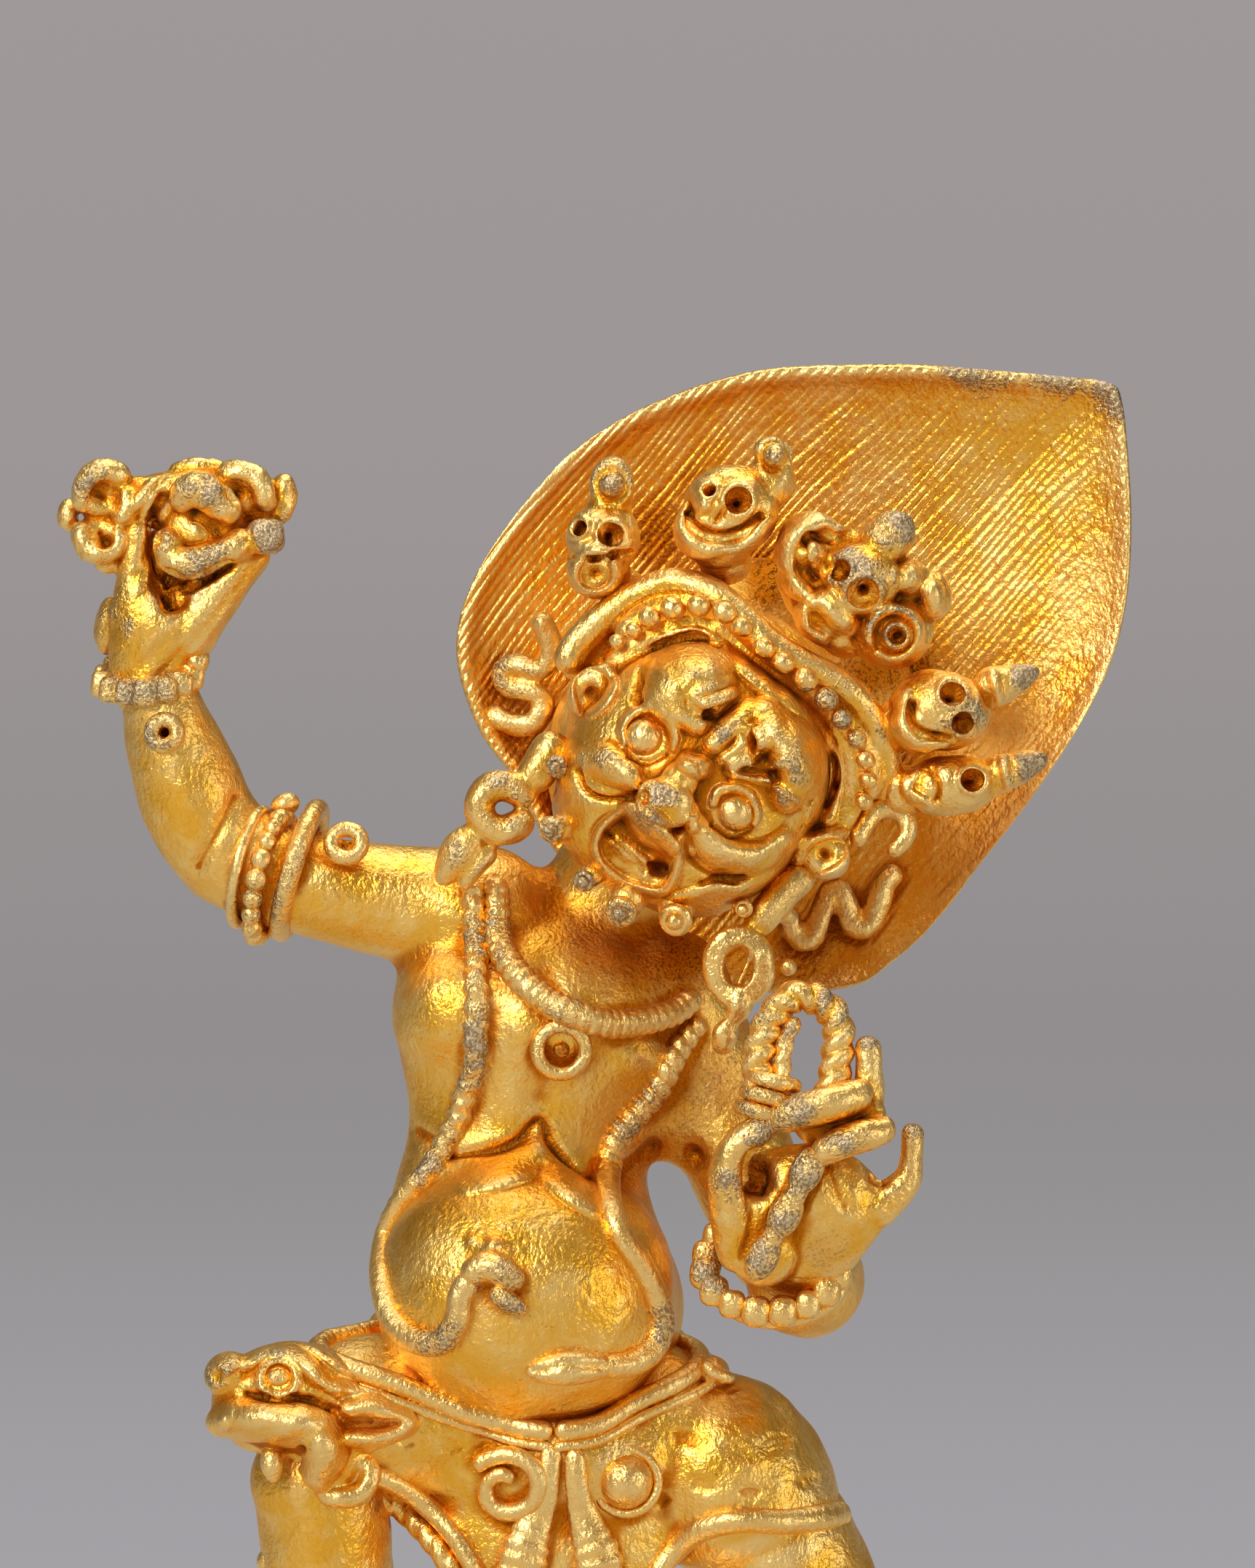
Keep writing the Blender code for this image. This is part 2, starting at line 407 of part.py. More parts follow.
def crest():
    """Flame of combed hair behind the head: a leaf-shaped dish, hollow side forward."""
    edge = [(13.9, 60.8), (21.9, 68.2), (28.6, 77.2), (31.4, 85.2), (31.8, 91.5), (31.2, 97.6), (30.0, 98.9),
            (21.0, 99.9), (9.4, 99.8), (-0.9, 96.3), (-7.2, 90.4), (-10.8, 82.2), (-7.5, 74.4), (-1.0, 66.0),
            (6.0, 61.0), (13.9, 60.8)]
    outline = through(edge, 5)[:-1]
    middle = np.array([9.0, 79.0])
    share = np.array([0.12, 0.35, 0.6, 0.8, 0.93, 0.985, 1.0])
    bowl = 4.0 + 5.0 * np.sqrt(1.0 - share**2 * 0.98)
    wall = CREST_RIM + 1.6 * (1.0 - share**2)
    wall[-1] = CREST_RIM * 0.4
    front = [(*(middle + s * (outline - middle)).T, y) for s, y in zip(share, bowl)]
    back = [(*(middle + s * (outline - middle)).T, y + w) for s, y, w in zip(share, bowl, wall)]
    rings = front + back[::-1]
    points = np.stack([np.stack([x, np.full(len(x), y), z], 1) for x, z, y in rings])
    closed_grid(points[:, ::-1])
    ball((4.0, 4.6, 75.0), (9.0, 5.0, 9.0))


def gilt(name, colour):
    """Gold-plated copper alloy."""
    material = bpy.data.materials.new(name)
    material.use_nodes = True
    shader = material.node_tree.nodes["Principled BSDF"]
    shader.inputs["Base Color"].default_value = colour
    shader.inputs["Metallic"].default_value = 1.0
    shader.inputs["Roughness"].default_value = 0.35
    return material


def put(name, vertices, faces, material):
    """Object of this name with the given surface."""
    mesh = bpy.data.meshes.new(name)
    mesh.from_pydata([tuple(v) for v in vertices], [], faces)
    if material:
        mesh.materials.append(material)
    obj = bpy.data.objects.new(name, mesh)
    bpy.context.scene.collection.objects.link(obj)
    return obj


def outer_shell(obj):
    """Points and quads of the object's largest surface, without the sealed pockets that its forms enclose."""
    mesh = obj.evaluated_get(bpy.context.evaluated_depsgraph_get()).to_mesh()
    vertices = np.empty(len(mesh.vertices) * 3, np.float32)
    mesh.vertices.foreach_get("co", vertices)
    quads = np.empty(len(mesh.loops), np.int32)
    mesh.loops.foreach_get("vertex_index", quads)
    quads = quads.reshape(-1, 4)
    label = np.arange(len(mesh.vertices))
    settled = False
    while not settled:
        lowest = np.repeat(label[quads].min(1), 4)
        spread = label.copy()
        np.minimum.at(spread, quads.ravel(), lowest)
        spread = spread[spread]
        settled = bool((spread == label).all())
        label = spread
    kept = label == np.bincount(label).argmax()
    renumbered = np.cumsum(kept) - 1
    return vertices.reshape(-1, 3)[kept], renumbered[quads[kept[quads[:, 0]]]]


def figure():
    """The casting: every form fused into one closed surface, then faceted."""
    for part in (trunk, raised_arm, raised_hand, lowered_arm, legs, skirt, serpents, head, crown, crest):
        part()
    vertices, faces, count = [], [], 0
    for points, polygons in forms:
        vertices.append(points)
        faces += [[count + i for i in polygon] for polygon in polygons]
        count += len(points)
    placed = np.vstack(vertices) * UNIT + (0, 0, BASE_HEIGHT + SEAT_GAP)
    rough = put("rough forms", placed, faces, None)
    fuse = rough.modifiers.new("fuse", "REMESH")
    fuse.mode = "VOXEL"
    fuse.voxel_size = FUSE_GRAIN * UNIT
    vertices, quads = outer_shell(rough)
    bpy.data.objects.remove(rough)
    obj = put("figure", vertices, quads.tolist(), gilt("figure gilding", GOLD))
    facet = obj.modifiers.new("facet", "DECIMATE")
    facet.ratio = min(1.0, FIGURE_TRIANGLES / (2 * len(quads)))
    facet.use_collapse_triangulate = True


def lotus_base():
    """Oval pedestal: plinth moulding, one row of broad petals and a plain rim, as one turned surface."""
    half_width = STANCE * UNIT + BASE_MARGIN
    half_depth = BASE_DEPTH / 2
    petal_top = BASE_HEIGHT - RIM_HEIGHT
    span = petal_top - PLINTH_HEIGHT
    columns = PETAL_COUNT * PETAL_STEPS
    turn = np.linspace(0, 2 * math.pi, columns, endpoint=False)
    arch = np.abs(np.sin(turn * PETAL_COUNT / 2))
    rows = [(0.0, 1.0, 0.0), (PLINTH_HEIGHT * 0.6, 1.0, 0.0), (PLINTH_HEIGHT, 0.6, 0.0)]
    for height, relief in ((0.0, 0.15), (0.18, 0.75), (0.45, 1.0), (0.72, 0.8), (0.92, 0.35), (1.0, 0.1)):
        rows.append((PLINTH_HEIGHT + height * span, 0.25 - 0.6 * height, relief))
    rows += [(petal_top, -0.55, 0.0), (BASE_HEIGHT - RIM_HEIGHT * 0.3, -0.45, 0.0), (BASE_HEIGHT, -0.65, 0.0)]
    points = []
    for height, flare, relief in rows:
        out = PETAL_RELIEF * (flare + relief * arch)
        points.append(np.stack([(half_width + out) * np.cos(turn), (half_depth + out) * np.sin(turn),
                                np.full(columns, height)], 1))
    forms.clear()
    closed_grid(np.stack(points))
    put("lotus_base", *forms[0], gilt("pedestal gilding", GOLD))


for old in list(bpy.data.objects):
    bpy.data.objects.remove(old, do_unlink=True)
figure()
lotus_base()
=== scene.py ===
"""Gilt cast statuette of the wrathful Vajrapani: its finish, fine modelling, camera and light.

The figure is drawn in hundredths of its own height, as its casting is: x to the viewer's right,
y away from the viewer, z up from the soles. Each piece goes to metres only when it is put in place.
"""

import math

import bpy
import numpy as np
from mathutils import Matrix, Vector
from mathutils.bvhtree import BVHTree


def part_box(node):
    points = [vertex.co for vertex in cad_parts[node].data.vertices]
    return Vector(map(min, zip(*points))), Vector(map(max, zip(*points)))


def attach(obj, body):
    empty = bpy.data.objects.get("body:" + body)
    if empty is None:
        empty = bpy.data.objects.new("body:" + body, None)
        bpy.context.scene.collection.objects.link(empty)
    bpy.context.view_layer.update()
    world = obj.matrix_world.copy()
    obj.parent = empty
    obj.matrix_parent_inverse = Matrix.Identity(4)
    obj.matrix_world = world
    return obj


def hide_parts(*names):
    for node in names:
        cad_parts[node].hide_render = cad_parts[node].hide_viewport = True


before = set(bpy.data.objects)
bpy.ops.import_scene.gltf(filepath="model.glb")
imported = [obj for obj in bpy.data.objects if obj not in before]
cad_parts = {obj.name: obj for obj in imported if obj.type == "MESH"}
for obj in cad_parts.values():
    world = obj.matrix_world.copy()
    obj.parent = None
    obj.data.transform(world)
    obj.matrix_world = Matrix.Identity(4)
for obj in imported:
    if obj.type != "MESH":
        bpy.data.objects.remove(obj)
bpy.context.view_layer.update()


# Camera
# The photograph is a level close-up from straight in front, cut at the thighs, with the figure's
# axis on the middle of the picture.
FIGURE_LOW, FIGURE_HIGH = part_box("figure")
UNIT = (FIGURE_HIGH.z - FIGURE_LOW.z) / 100
CAMERA_DISTANCE = 0.95
AIM_HEIGHT = 73.6         # of the figure's hundred, at the middle of the picture
PICTURE_HEIGHT = 98.0     # of the figure's hundreds, from the picture's bottom to its top
SENSOR = 0.036

camera = bpy.data.objects.new("camera", bpy.data.cameras.new("camera"))
camera.data.sensor_width = SENSOR * 1000
camera.data.lens = SENSOR * 1000 * CAMERA_DISTANCE / (PICTURE_HEIGHT * UNIT)
camera.data.clip_start = 0.01
camera.location = (0, -CAMERA_DISTANCE, FIGURE_LOW.z + AIM_HEIGHT * UNIT)
camera.rotation_euler = (math.pi / 2, 0, 0)
bpy.context.scene.collection.objects.link(camera)
bpy.context.scene.camera = camera
bpy.context.scene.view_settings.view_transform = "Standard"


class Wire:
    """One output socket of a node tree. An operator on it adds the Math node that it stands for."""

    def __init__(self, tree, socket):
        self.tree = tree
        self.socket = socket

    @staticmethod
    def node(tree, kind, settings=None, inputs=None, output=0):
        """Adds a node: its settings first, then its sockets' values or links. Gives one output."""
        made = tree.nodes.new(kind)
        for name, value in (settings or {}).items():
            if name == "stops":
                ramp = made.color_ramp.elements
                while len(ramp) < len(value):
                    ramp.new(0.5)
                for stop, (place, colour) in zip(ramp, value):
                    stop.position = place
                    stop.color = colour
            else:
                setattr(made, name, value)
        for name, value in (inputs or {}).items():
            if isinstance(value, Wire):
                tree.links.new(value.socket, made.inputs[name])
            else:
                made.inputs[name].default_value = value
        return Wire(tree, made.outputs[output])

    def maths(self, operation, first, second=0.0):
        return Wire.node(self.tree, "ShaderNodeMath", {"operation": operation}, {0: first, 1: second})

    def __add__(self, other):
        return self.maths("ADD", self, other)

    def __radd__(self, other):
        return self.maths("ADD", other, self)

    def __sub__(self, other):
        return self.maths("SUBTRACT", self, other)

    def __rsub__(self, other):
        return self.maths("SUBTRACT", other, self)

    def __mul__(self, other):
        return self.maths("MULTIPLY", self, other)

    def __rmul__(self, other):
        return self.maths("MULTIPLY", other, self)

    def between(self, low, high):
        """0 below low, 1 above high and a smooth step between; turned round where low is the greater."""
        settings = {"interpolation_type": "SMOOTHSTEP"}
        inputs = {"Value": self, "From Min": min(low, high), "From Max": max(low, high)}
        step = Wire.node(self.tree, "ShaderNodeMapRange", settings, inputs)
        return step if low < high else 1.0 - step

    def mixed(self, first, second):
        """First colour where this is 0, second where it is 1."""
        settings = {"data_type": "RGBA"}
        inputs = {0: self, 6: first, 7: second}
        return Wire.node(self.tree, "ShaderNodeMix", settings, inputs, 2)


# Studio
# A pale round table top that fades out, a grey backdrop that is part of the surrounding air, and soft
# boxes at the upper left, at the right, overhead and low in front.
AIR = [(0.0, (0.24, 0.18, 0.12, 1)), (0.44, (0.30, 0.25, 0.20, 1)), (0.474, (0.38, 0.37, 0.39, 1)),
       (0.49, (0.28, 0.265, 0.27, 1)), (0.51, (0.335, 0.305, 0.305, 1)), (0.53, (0.35, 0.325, 0.325, 1)),
       (0.62, (0.16, 0.125, 0.085, 1)), (1.0, (0.32, 0.265, 0.20, 1))]
SOFT_BOXES = [("key", (-0.34, -0.52, 0.42), 0.32, 2.9), ("right", (0.60, -0.42, 0.16), 0.40, 0.9),
              ("overhead", (0.05, 0.05, 0.62), 0.50, 1.6),
              ("low_front", (-0.10, -0.70, -0.10), 0.30, 0.25)]
FLOOR_RADIUS = 0.62

world = bpy.context.scene.world or bpy.data.worlds.new("air")
bpy.context.scene.world = world
world.use_nodes = True
direction = Wire.node(world.node_tree, "ShaderNodeTexCoord", output="Generated")
height = Wire.node(world.node_tree, "ShaderNodeSeparateXYZ", inputs={0: direction}, output=2)
air = Wire.node(world.node_tree, "ShaderNodeValToRGB", {"stops": AIR}, {0: height * 0.5 + 0.5})
world.node_tree.links.new(air.socket, world.node_tree.nodes["Background"].inputs["Color"])

middle = Vector((0, 0, FIGURE_LOW.z + 60 * UNIT))
for name, place, size, power in SOFT_BOXES:
    lamp = bpy.data.objects.new(name, bpy.data.lights.new(name, "AREA"))
    lamp.data.shape = "DISK"
    lamp.data.size = size
    lamp.data.energy = power
    lamp.location = place
    lamp.rotation_euler = (Vector(place) - middle).to_track_quat("Z", "Y").to_euler()
    bpy.context.scene.collection.objects.link(lamp)

turn = np.linspace(0, 2 * math.pi, 96, endpoint=False)
disc = np.stack([FLOOR_RADIUS * np.cos(turn), FLOOR_RADIUS * np.sin(turn), 0 * turn], 1)
floor = bpy.data.objects.new("table_top", bpy.data.meshes.new("table_top"))
floor.data.from_pydata(disc.tolist(), [], [list(range(len(turn)))])
bpy.context.scene.collection.objects.link(floor)
material = bpy.data.materials.new("table_top")
material.use_nodes = True
tree = material.node_tree
shader = tree.nodes["Principled BSDF"]
shader.inputs["Base Color"].default_value = (0.62, 0.61, 0.60, 1)
shader.inputs["Roughness"].default_value = 0.7
where = Wire.node(tree, "ShaderNodeTexCoord", output="Object")
away = Wire.node(tree, "ShaderNodeVectorMath", {"operation": "LENGTH"}, {0: where}, "Value")
tree.links.new(away.between(FLOOR_RADIUS, FLOOR_RADIUS / 2).socket, shader.inputs["Alpha"])
floor.data.materials.append(material)


# Torso and arms
# Barrel chest, pot belly, neck and both arms down to the wrists, cast in one with the rest and
# smoothed in the wax, so that each form runs softly into the next.
TORSO_GRAIN = 0.2


def through(points, steps=12):
    """Catmull-Rom curve through rows of numbers: a cubic between each two rows, smooth at the joins."""
    rows = np.asarray(points, float)
    spans = len(rows) - 1
    ends = np.vstack([2 * rows[0] - rows[1], rows, 2 * rows[-1] - rows[-2]])
    t = np.linspace(0, spans, spans * steps + 1)
    i = np.minimum(t.astype(int), spans - 1)
    f = (t - i)[:, None]
    a, b, c, d = ends[i], ends[i + 1], ends[i + 2], ends[i + 3]
    return 0.5 * (2 * b + (c - a) * f + (2 * a - 5 * b + 4 * c - d) * f**2 + (3 * b - a - 3 * c + d) * f**3)


def shell(rings):
    """Closed skin from a grid of rings: each ring closes on itself, each end on its own middle."""
    count, sides = rings.shape[:2]
    points = np.vstack([rings.reshape(-1, 3), rings[0].mean(0), rings[-1].mean(0)])
    ring = np.arange(sides)
    after = (ring + 1) % sides
    low = np.arange(count - 1)[:, None] * sides
    a, b, c, d = low + ring, low + after, low + sides + after, low + sides + ring
    first, last, top = count * sides, count * sides + 1, (count - 1) * sides
    caps = [np.stack([np.full(sides, first), after, ring], 1),
            np.stack([np.full(sides, last), top + ring, top + after], 1)]
    sheets = [np.stack([a, b, c], -1).reshape(-1, 3), np.stack([a, c, d], -1).reshape(-1, 3)]
    return points, np.vstack(sheets + caps)


def sweep(path, depth=1.0, facing=(0, 1, 0), sides=24, step=0.4, ripple=None):
    """Round-ended tube along a path of x, y, z and radius.

    Each ring is an ellipse: the radius across, depth times the radius along facing. The ends are
    half spheres inside the path's length. Ripple multiplies the radius, from run and angle.
    """
    centre, radius = path[:, :3], path[:, 3]
    run = np.concatenate([[0], np.cumsum(np.linalg.norm(np.diff(centre, axis=0), axis=1))])
    start, end = min(radius[0], 0.45 * run[-1]), min(radius[-1], 0.45 * run[-1])
    bend = np.linspace(0, math.pi / 2, max(4, sides // 4) + 1)[1:]
    count = max(3, int((run[-1] - start - end) / step))
    stations = np.concatenate([start * (1 - np.cos(bend)), np.linspace(start, run[-1] - end, count)[1:-1],
                               run[-1] - end * (1 - np.cos(bend[::-1]))])
    swell = np.concatenate([np.sin(bend), np.ones(count - 2), np.sin(bend[::-1])])
    at = np.stack([np.interp(stations, run, centre[:, k]) for k in range(3)], 1)
    size = np.interp(stations, run, radius) * swell
    tangent = np.gradient(at, stations, axis=0)
    tangent /= np.linalg.norm(tangent, axis=1, keepdims=True)
    across = np.cross(tangent, np.asarray(facing, float))
    across /= np.linalg.norm(across, axis=1, keepdims=True)
    out = np.cross(across, tangent)
    angle = np.linspace(0, 2 * math.pi, sides, endpoint=False)
    turned = angle[None, :, None]
    ring = across[:, None] * np.cos(turned) - depth * out[:, None] * np.sin(turned)
    width = size[:, None] * np.ones(sides)
    if ripple:
        width = width * ripple(stations[:, None], angle[None])
    return shell(at[:, None] + width[..., None] * ring)


def limb(points, **section):
    return sweep(through(points), **section)


def ball(centre, radii, roll=0.0, sides=32, full=1.0):
    """Ellipsoid of three half-sizes, rolled clockwise in the front view by an angle in radians.

    Full is the power on its sines and cosines: under 1 its sides fill out towards a box.
    """
    down = np.linspace(0, math.pi, sides // 2 + 2)[1:-1, None]
    turn = np.linspace(0, 2 * math.pi, sides, endpoint=False)[None]
    power = lambda wave: np.sign(wave) * np.abs(wave) ** full
    x = power(np.sin(down)) * power(np.cos(turn)) * radii[0]
    y = power(np.sin(down)) * power(np.sin(turn)) * radii[1]
    z = -power(np.cos(down)) * np.ones_like(turn) * radii[2]
    across = x * math.cos(roll) + z * math.sin(roll)
    up = -x * math.sin(roll) + z * math.cos(roll)
    return shell(np.stack([across, y, up], 2) + np.asarray(centre, float))


def joined(forms):
    """Points and triangles of several closed skins as one list."""
    counts = np.cumsum([0] + [len(points) for points, _ in forms[:-1]])
    return np.vstack([p for p, _ in forms]), np.vstack([t + n for (_, t), n in zip(forms, counts)])


def as_object(name, points, triangles):
    """Object at the origin with those triangles, shaded smooth."""
    mesh = bpy.data.meshes.new(name)
    mesh.vertices.add(len(points))
    mesh.vertices.foreach_set("co", np.asarray(points, np.float32).ravel())
    mesh.loops.add(triangles.size)
    mesh.loops.foreach_set("vertex_index", triangles.astype(np.int32).ravel())
    mesh.polygons.add(len(triangles))
    mesh.polygons.foreach_set("loop_start", np.arange(0, triangles.size, 3, dtype=np.int32))
    mesh.update(calc_edges=True)
    mesh.shade_smooth()
    obj = bpy.data.objects.new(name, mesh)
    bpy.context.scene.collection.objects.link(obj)
    return obj


def averaged(points, triangles, rounds):
    """Moves each point, or each row of values, half the way to the mean of its neighbours, that often."""
    pairs = np.vstack([triangles[:, (0, 1)], triangles[:, (1, 2)], triangles[:, (2, 0)]])
    one, other = pairs.ravel("F"), np.roll(pairs, 1, 1).ravel("F")
    count = np.bincount(one, minlength=len(points))[:, None]
    for _ in range(rounds):
        near = np.stack([np.bincount(one, points[other, k], len(points)) for k in range(3)], 1)
        points = points + 0.5 * (near / count - points)
    return points


def fused(forms, grain, rounds):
    """One closed skin round all the forms, at that grain, softened; sealed pockets inside are dropped."""
    rough = as_object("rough", *joined(forms))
    fuse = rough.modifiers.new("fuse", "REMESH")
    fuse.mode = "VOXEL"
    fuse.voxel_size = grain
    mesh = rough.evaluated_get(bpy.context.evaluated_depsgraph_get()).to_mesh()
    points = np.empty(len(mesh.vertices) * 3, np.float32)
    mesh.vertices.foreach_get("co", points)
    quads = np.empty(len(mesh.loops), np.int32)
    mesh.loops.foreach_get("vertex_index", quads)
    quads = quads.reshape(-1, 4)
    bpy.data.objects.remove(rough)
    label = np.arange(len(points) // 3)
    settled = False
    while not settled:
        spread = label.copy()
        np.minimum.at(spread, quads.ravel(), np.repeat(label[quads].min(1), 4))
        spread = spread[spread]
        settled = bool((spread == label).all())
        label = spread
    points = points.reshape(-1, 3).astype(float)
    triangles = np.vstack([quads[:, (0, 1, 2)], quads[:, (0, 2, 3)]])
    a, b, c = (points[triangles[:, k]] for k in range(3))
    volume = np.bincount(label[triangles[:, 0]], (np.cross(a, b) * c).sum(1), len(points))
    kept = volume[label] > 0
    number = np.cumsum(kept) - 1
    triangles = number[triangles[kept[triangles[:, 0]]]]
    return averaged(points[kept], triangles, rounds), triangles


def outward(points, triangles):
    """Unit normal at each point: the mean of its triangles' own, each by its area."""
    a, b, c = (points[triangles[:, k]] for k in range(3))
    flat = np.cross(b - a, c - a)
    corners = triangles.ravel("F")
    total = np.stack([np.bincount(corners, np.tile(flat[:, k], 3), len(points)) for k in range(3)], 1)
    return total / np.maximum(np.linalg.norm(total, axis=1, keepdims=True), 1e-12)


def gap_to(line, x, z):
    """Distance in the front view from each place to a line of straight pieces, and the line's row there."""
    start, along = line[:-1], np.diff(line, axis=0)
    dx, dz = x[:, None] - start[:, 0], z[:, None] - start[:, 1]
    share = np.clip((dx * along[:, 0] + dz * along[:, 1]) / (along[:, :2] ** 2).sum(1), 0, 1)
    gap = np.hypot(dx - share * along[:, 0], dz - share * along[:, 1])
    piece = gap.argmin(1)
    each = np.arange(len(x))
    return gap[each, piece], start[piece] + share[each, piece, None] * along[piece]


def drawn(route):
    """Curve through the rows of a route; a route of one row becomes a very short line."""
    rows = np.asarray(route, float)
    return through(rows, 6) if len(rows) > 1 else np.vstack([rows, rows + np.eye(1, rows.shape[1]) * 1e-3])


def near_to(line, reach, points):
    """Numbers of the points within the line's own box in the front view, widened by the reach."""
    low, high = line[:, :2].min(0) - reach, line[:, :2].max(0) + reach
    flat = points[:, (0, 2)]
    return np.nonzero(((flat > low) & (flat < high)).all(1))[0]


def chased(skin, strokes):
    """Presses lines into the skin that faces the viewer, or raises them where the depth is negative.

    A stroke is a route of x and z, a width and a depth. Its section is a bell: depth times
    e to the minus square of distance over width.
    """
    points, triangles = skin
    normals = outward(points, triangles)
    shift = np.zeros(len(points))
    for route, width, depth in strokes:
        line = drawn(route)
        near = near_to(line, 3 * width, points)
        gap, _ = gap_to(line, points[near, 0], points[near, 2])
        shift[near] -= depth * np.exp(-(gap / width) ** 2)
    facing = np.clip((-normals[:, 1] - 0.15) * 3, 0, 1)
    return points + normals * (shift * facing)[:, None], triangles


def risen(skin, forms):
    """Raises soft forms towards the viewer on the skin that faces them.

    A form is a route of x, z, height and half-width. Its section is the height times the power 0.8 of
    one less the square of distance over half-width, and forms join as the fourth root of the sum of
    their fourth powers.
    """
    points, triangles = skin
    facing = np.clip((-averaged(outward(points, triangles), triangles, 12)[:, 1] - 0.1) * 4, 0, 1)
    total = np.zeros(len(points))
    for route in forms:
        line = drawn(route)
        near = near_to(line, line[:, 3].max(), points)
        gap, at = gap_to(line, points[near, 0], points[near, 2])
        total[near] += (at[:, 2] * np.clip(1 - (gap / at[:, 3]) ** 2, 0, 1) ** 0.8) ** 4
    raised = points.copy()
    raised[:, 1] -= total**0.25 * facing
    return averaged(raised, triangles, 1), triangles


def uneven(skin, amount, size):
    """Hand-made unevenness: moves the skin along its normals by a sum of three crossing waves."""
    points, triangles = skin
    x, y, z = (points / size).T
    wave = np.sin(x + 1.7 * y) * np.sin(1.3 * z - 0.6 * x) + 0.5 * np.sin(2.3 * x - 1.9 * z + 2.1 * y)
    return points + outward(points, triangles) * (amount * wave)[:, None], triangles


def gilding(name):
    """Fire gilding over copper alloy.

    Warm gold, deeper and redder in the hollows as painted shade, partly patina, and dark brown at their
    bottom as painted shade with grime; paler on what stands proud as a painted highlight, partly burnish.
    Hollows and proud places come from the attribute recess. Worn places, given by the attribute worn,
    break up into silver-grey specks; the painted places of grime and shade hold grime and painted shade
    in the open. Brush marks, pits and hazy patches come from noise on the object's own coordinates, in
    metres.
    """
    # The deep orange is painted shade in the hollows, partly patina, and also the colour of pits; the pale
    # bright gold is a painted highlight on what stands proud, partly burnish; the dark brown is painted shade
    # with grime.
    rich, pale, deep = (0.95, 0.50, 0.05, 1), (1.0, 0.71, 0.24, 1), (0.64, 0.205, 0.006, 1)
    burnish_and_painted_highlight = (1.0, 0.79, 0.38, 1)
    grey, dark_grey, grime_and_shade_brown = (0.58, 0.48, 0.33, 1), (0.27, 0.20, 0.13, 1), (0.08, 0.026, 0.006, 1)
    made = bpy.data.materials.new(name)
    made.use_nodes = True
    tree = made.node_tree
    where = Wire.node(tree, "ShaderNodeTexCoord", output="Object")

    def noise(scale, detail=2.0, stretch=None):
        vector = where
        if stretch:
            vector = Wire.node(tree, "ShaderNodeMapping", inputs={"Vector": where, "Scale": stretch})
        inputs = {"Vector": vector, "Scale": scale, "Detail": detail}
        return Wire.node(tree, "ShaderNodeTexNoise", inputs=inputs)

    def painted(attribute):
        return Wire.node(tree, "ShaderNodeAttribute", {"attribute_name": attribute}, output="Fac")

    recess = painted("recess")
    worn = painted("worn")
    # Places of grime and painted shade, painted spot by spot on each piece.
    soiled = painted("soiled")
    haze = noise(240.0)
    smudge = noise(800.0, 4.0)
    brushed = noise(2600.0, 3.0, (1.0, 1.0, 0.75))
    specks = noise(5200.0)
    # What stands proud is painted paler: a painted highlight, partly burnish; the same mask also helps the
    # wear.
    ridge = recess.between(-0.08, -0.35)
    # Mask of the hollows and of the places of grime and painted shade: the deep orange mixed in by it is
    # painted shade, partly patina.
    hollow = (recess.between(0.0, 0.28) * (0.55 + smudge * 0.9) + soiled * (0.3 + smudge)).between(0.05, 0.95)
    colour = (haze.between(0.38, 0.66) * 0.5 + smudge.between(0.45, 0.7) * 0.4).mixed(rich, pale)
    colour = (ridge * 0.45).mixed(colour, burnish_and_painted_highlight)
    colour = hollow.mixed(colour, deep)
    # Dark brown in the deepest hollows and specks of it in the painted places: painted shade with grime.
    grime_and_shade_mask = recess.between(0.22, 0.62) * (0.3 + smudge * 1.3)
    grime_and_shade_mask = grime_and_shade_mask + soiled * specks.between(0.5, 0.62) * smudge * 1.3
    colour = (grime_and_shade_mask * 0.85).mixed(colour, grime_and_shade_brown)
    speckled = worn + (specks - 0.5) * 1.1 + (smudge - 0.5) * 1.5 + ridge * 0.3 - hollow * 0.5
    silver = speckled.between(0.32, 0.8) * worn.between(0.03, 0.2)
    colour = (silver * 0.85).mixed(colour, specks.between(0.58, 0.44).mixed(dark_grey, grey))
    colour = (specks.between(0.68, 0.73) * 0.5).mixed(colour, deep)
    rough = 0.32 + haze.between(0.3, 0.7) * 0.09 + hollow * 0.18 + silver * 0.10 + (brushed - 0.5) * 0.2
    relief = brushed * 0.8 + specks * (0.25 + silver * 0.5 + hollow * 0.3) + smudge * 0.7
    bump = {"Height": relief, "Strength": 1.0, "Distance": 0.00014}
    normal = Wire.node(tree, "ShaderNodeBump", inputs=bump)
    shader = tree.nodes["Principled BSDF"]
    shader.inputs["Metallic"].default_value = 1.0
    tree.links.new(colour.socket, shader.inputs["Base Color"])
    tree.links.new(rough.socket, shader.inputs["Roughness"])
    tree.links.new(normal.socket, shader.inputs["Normal"])
    return made


KEPT_SHARE = 0.58         # of the triangles, which keeps the whole figure under a million
gold = gilding("fire_gilding")
pieces = []


def put(name, skin, worn=(), soiled=(), finish=gold, node="figure"):
    """Puts a skin in place in metres, thinned where it is flattest, and ties it to its casting.

    Worn places, and places of grime and painted shade, are x, z, a radius and a strength, which falls
    off as a bell round each.
    """
    points, triangles = skin
    piece = as_object(name, points * UNIT + (0, 0, FIGURE_LOW.z), triangles)
    piece.modifiers.new("thinned", "DECIMATE").ratio = KEPT_SHARE
    for attribute, places in (("worn", worn), ("soiled", soiled)):
        strength = np.zeros(len(points))
        for x, z, radius, most in places:
            away = ((points[:, 0] - x) ** 2 + (points[:, 2] - z) ** 2) / radius**2
            strength = np.maximum(strength, most * np.exp(-away))
        piece.data.attributes.new(attribute, "FLOAT", "POINT").data.foreach_set("value", strength)
    piece.data.materials.append(finish)
    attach(piece, "root")
    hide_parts(node)
    pieces.append((piece, points, triangles))


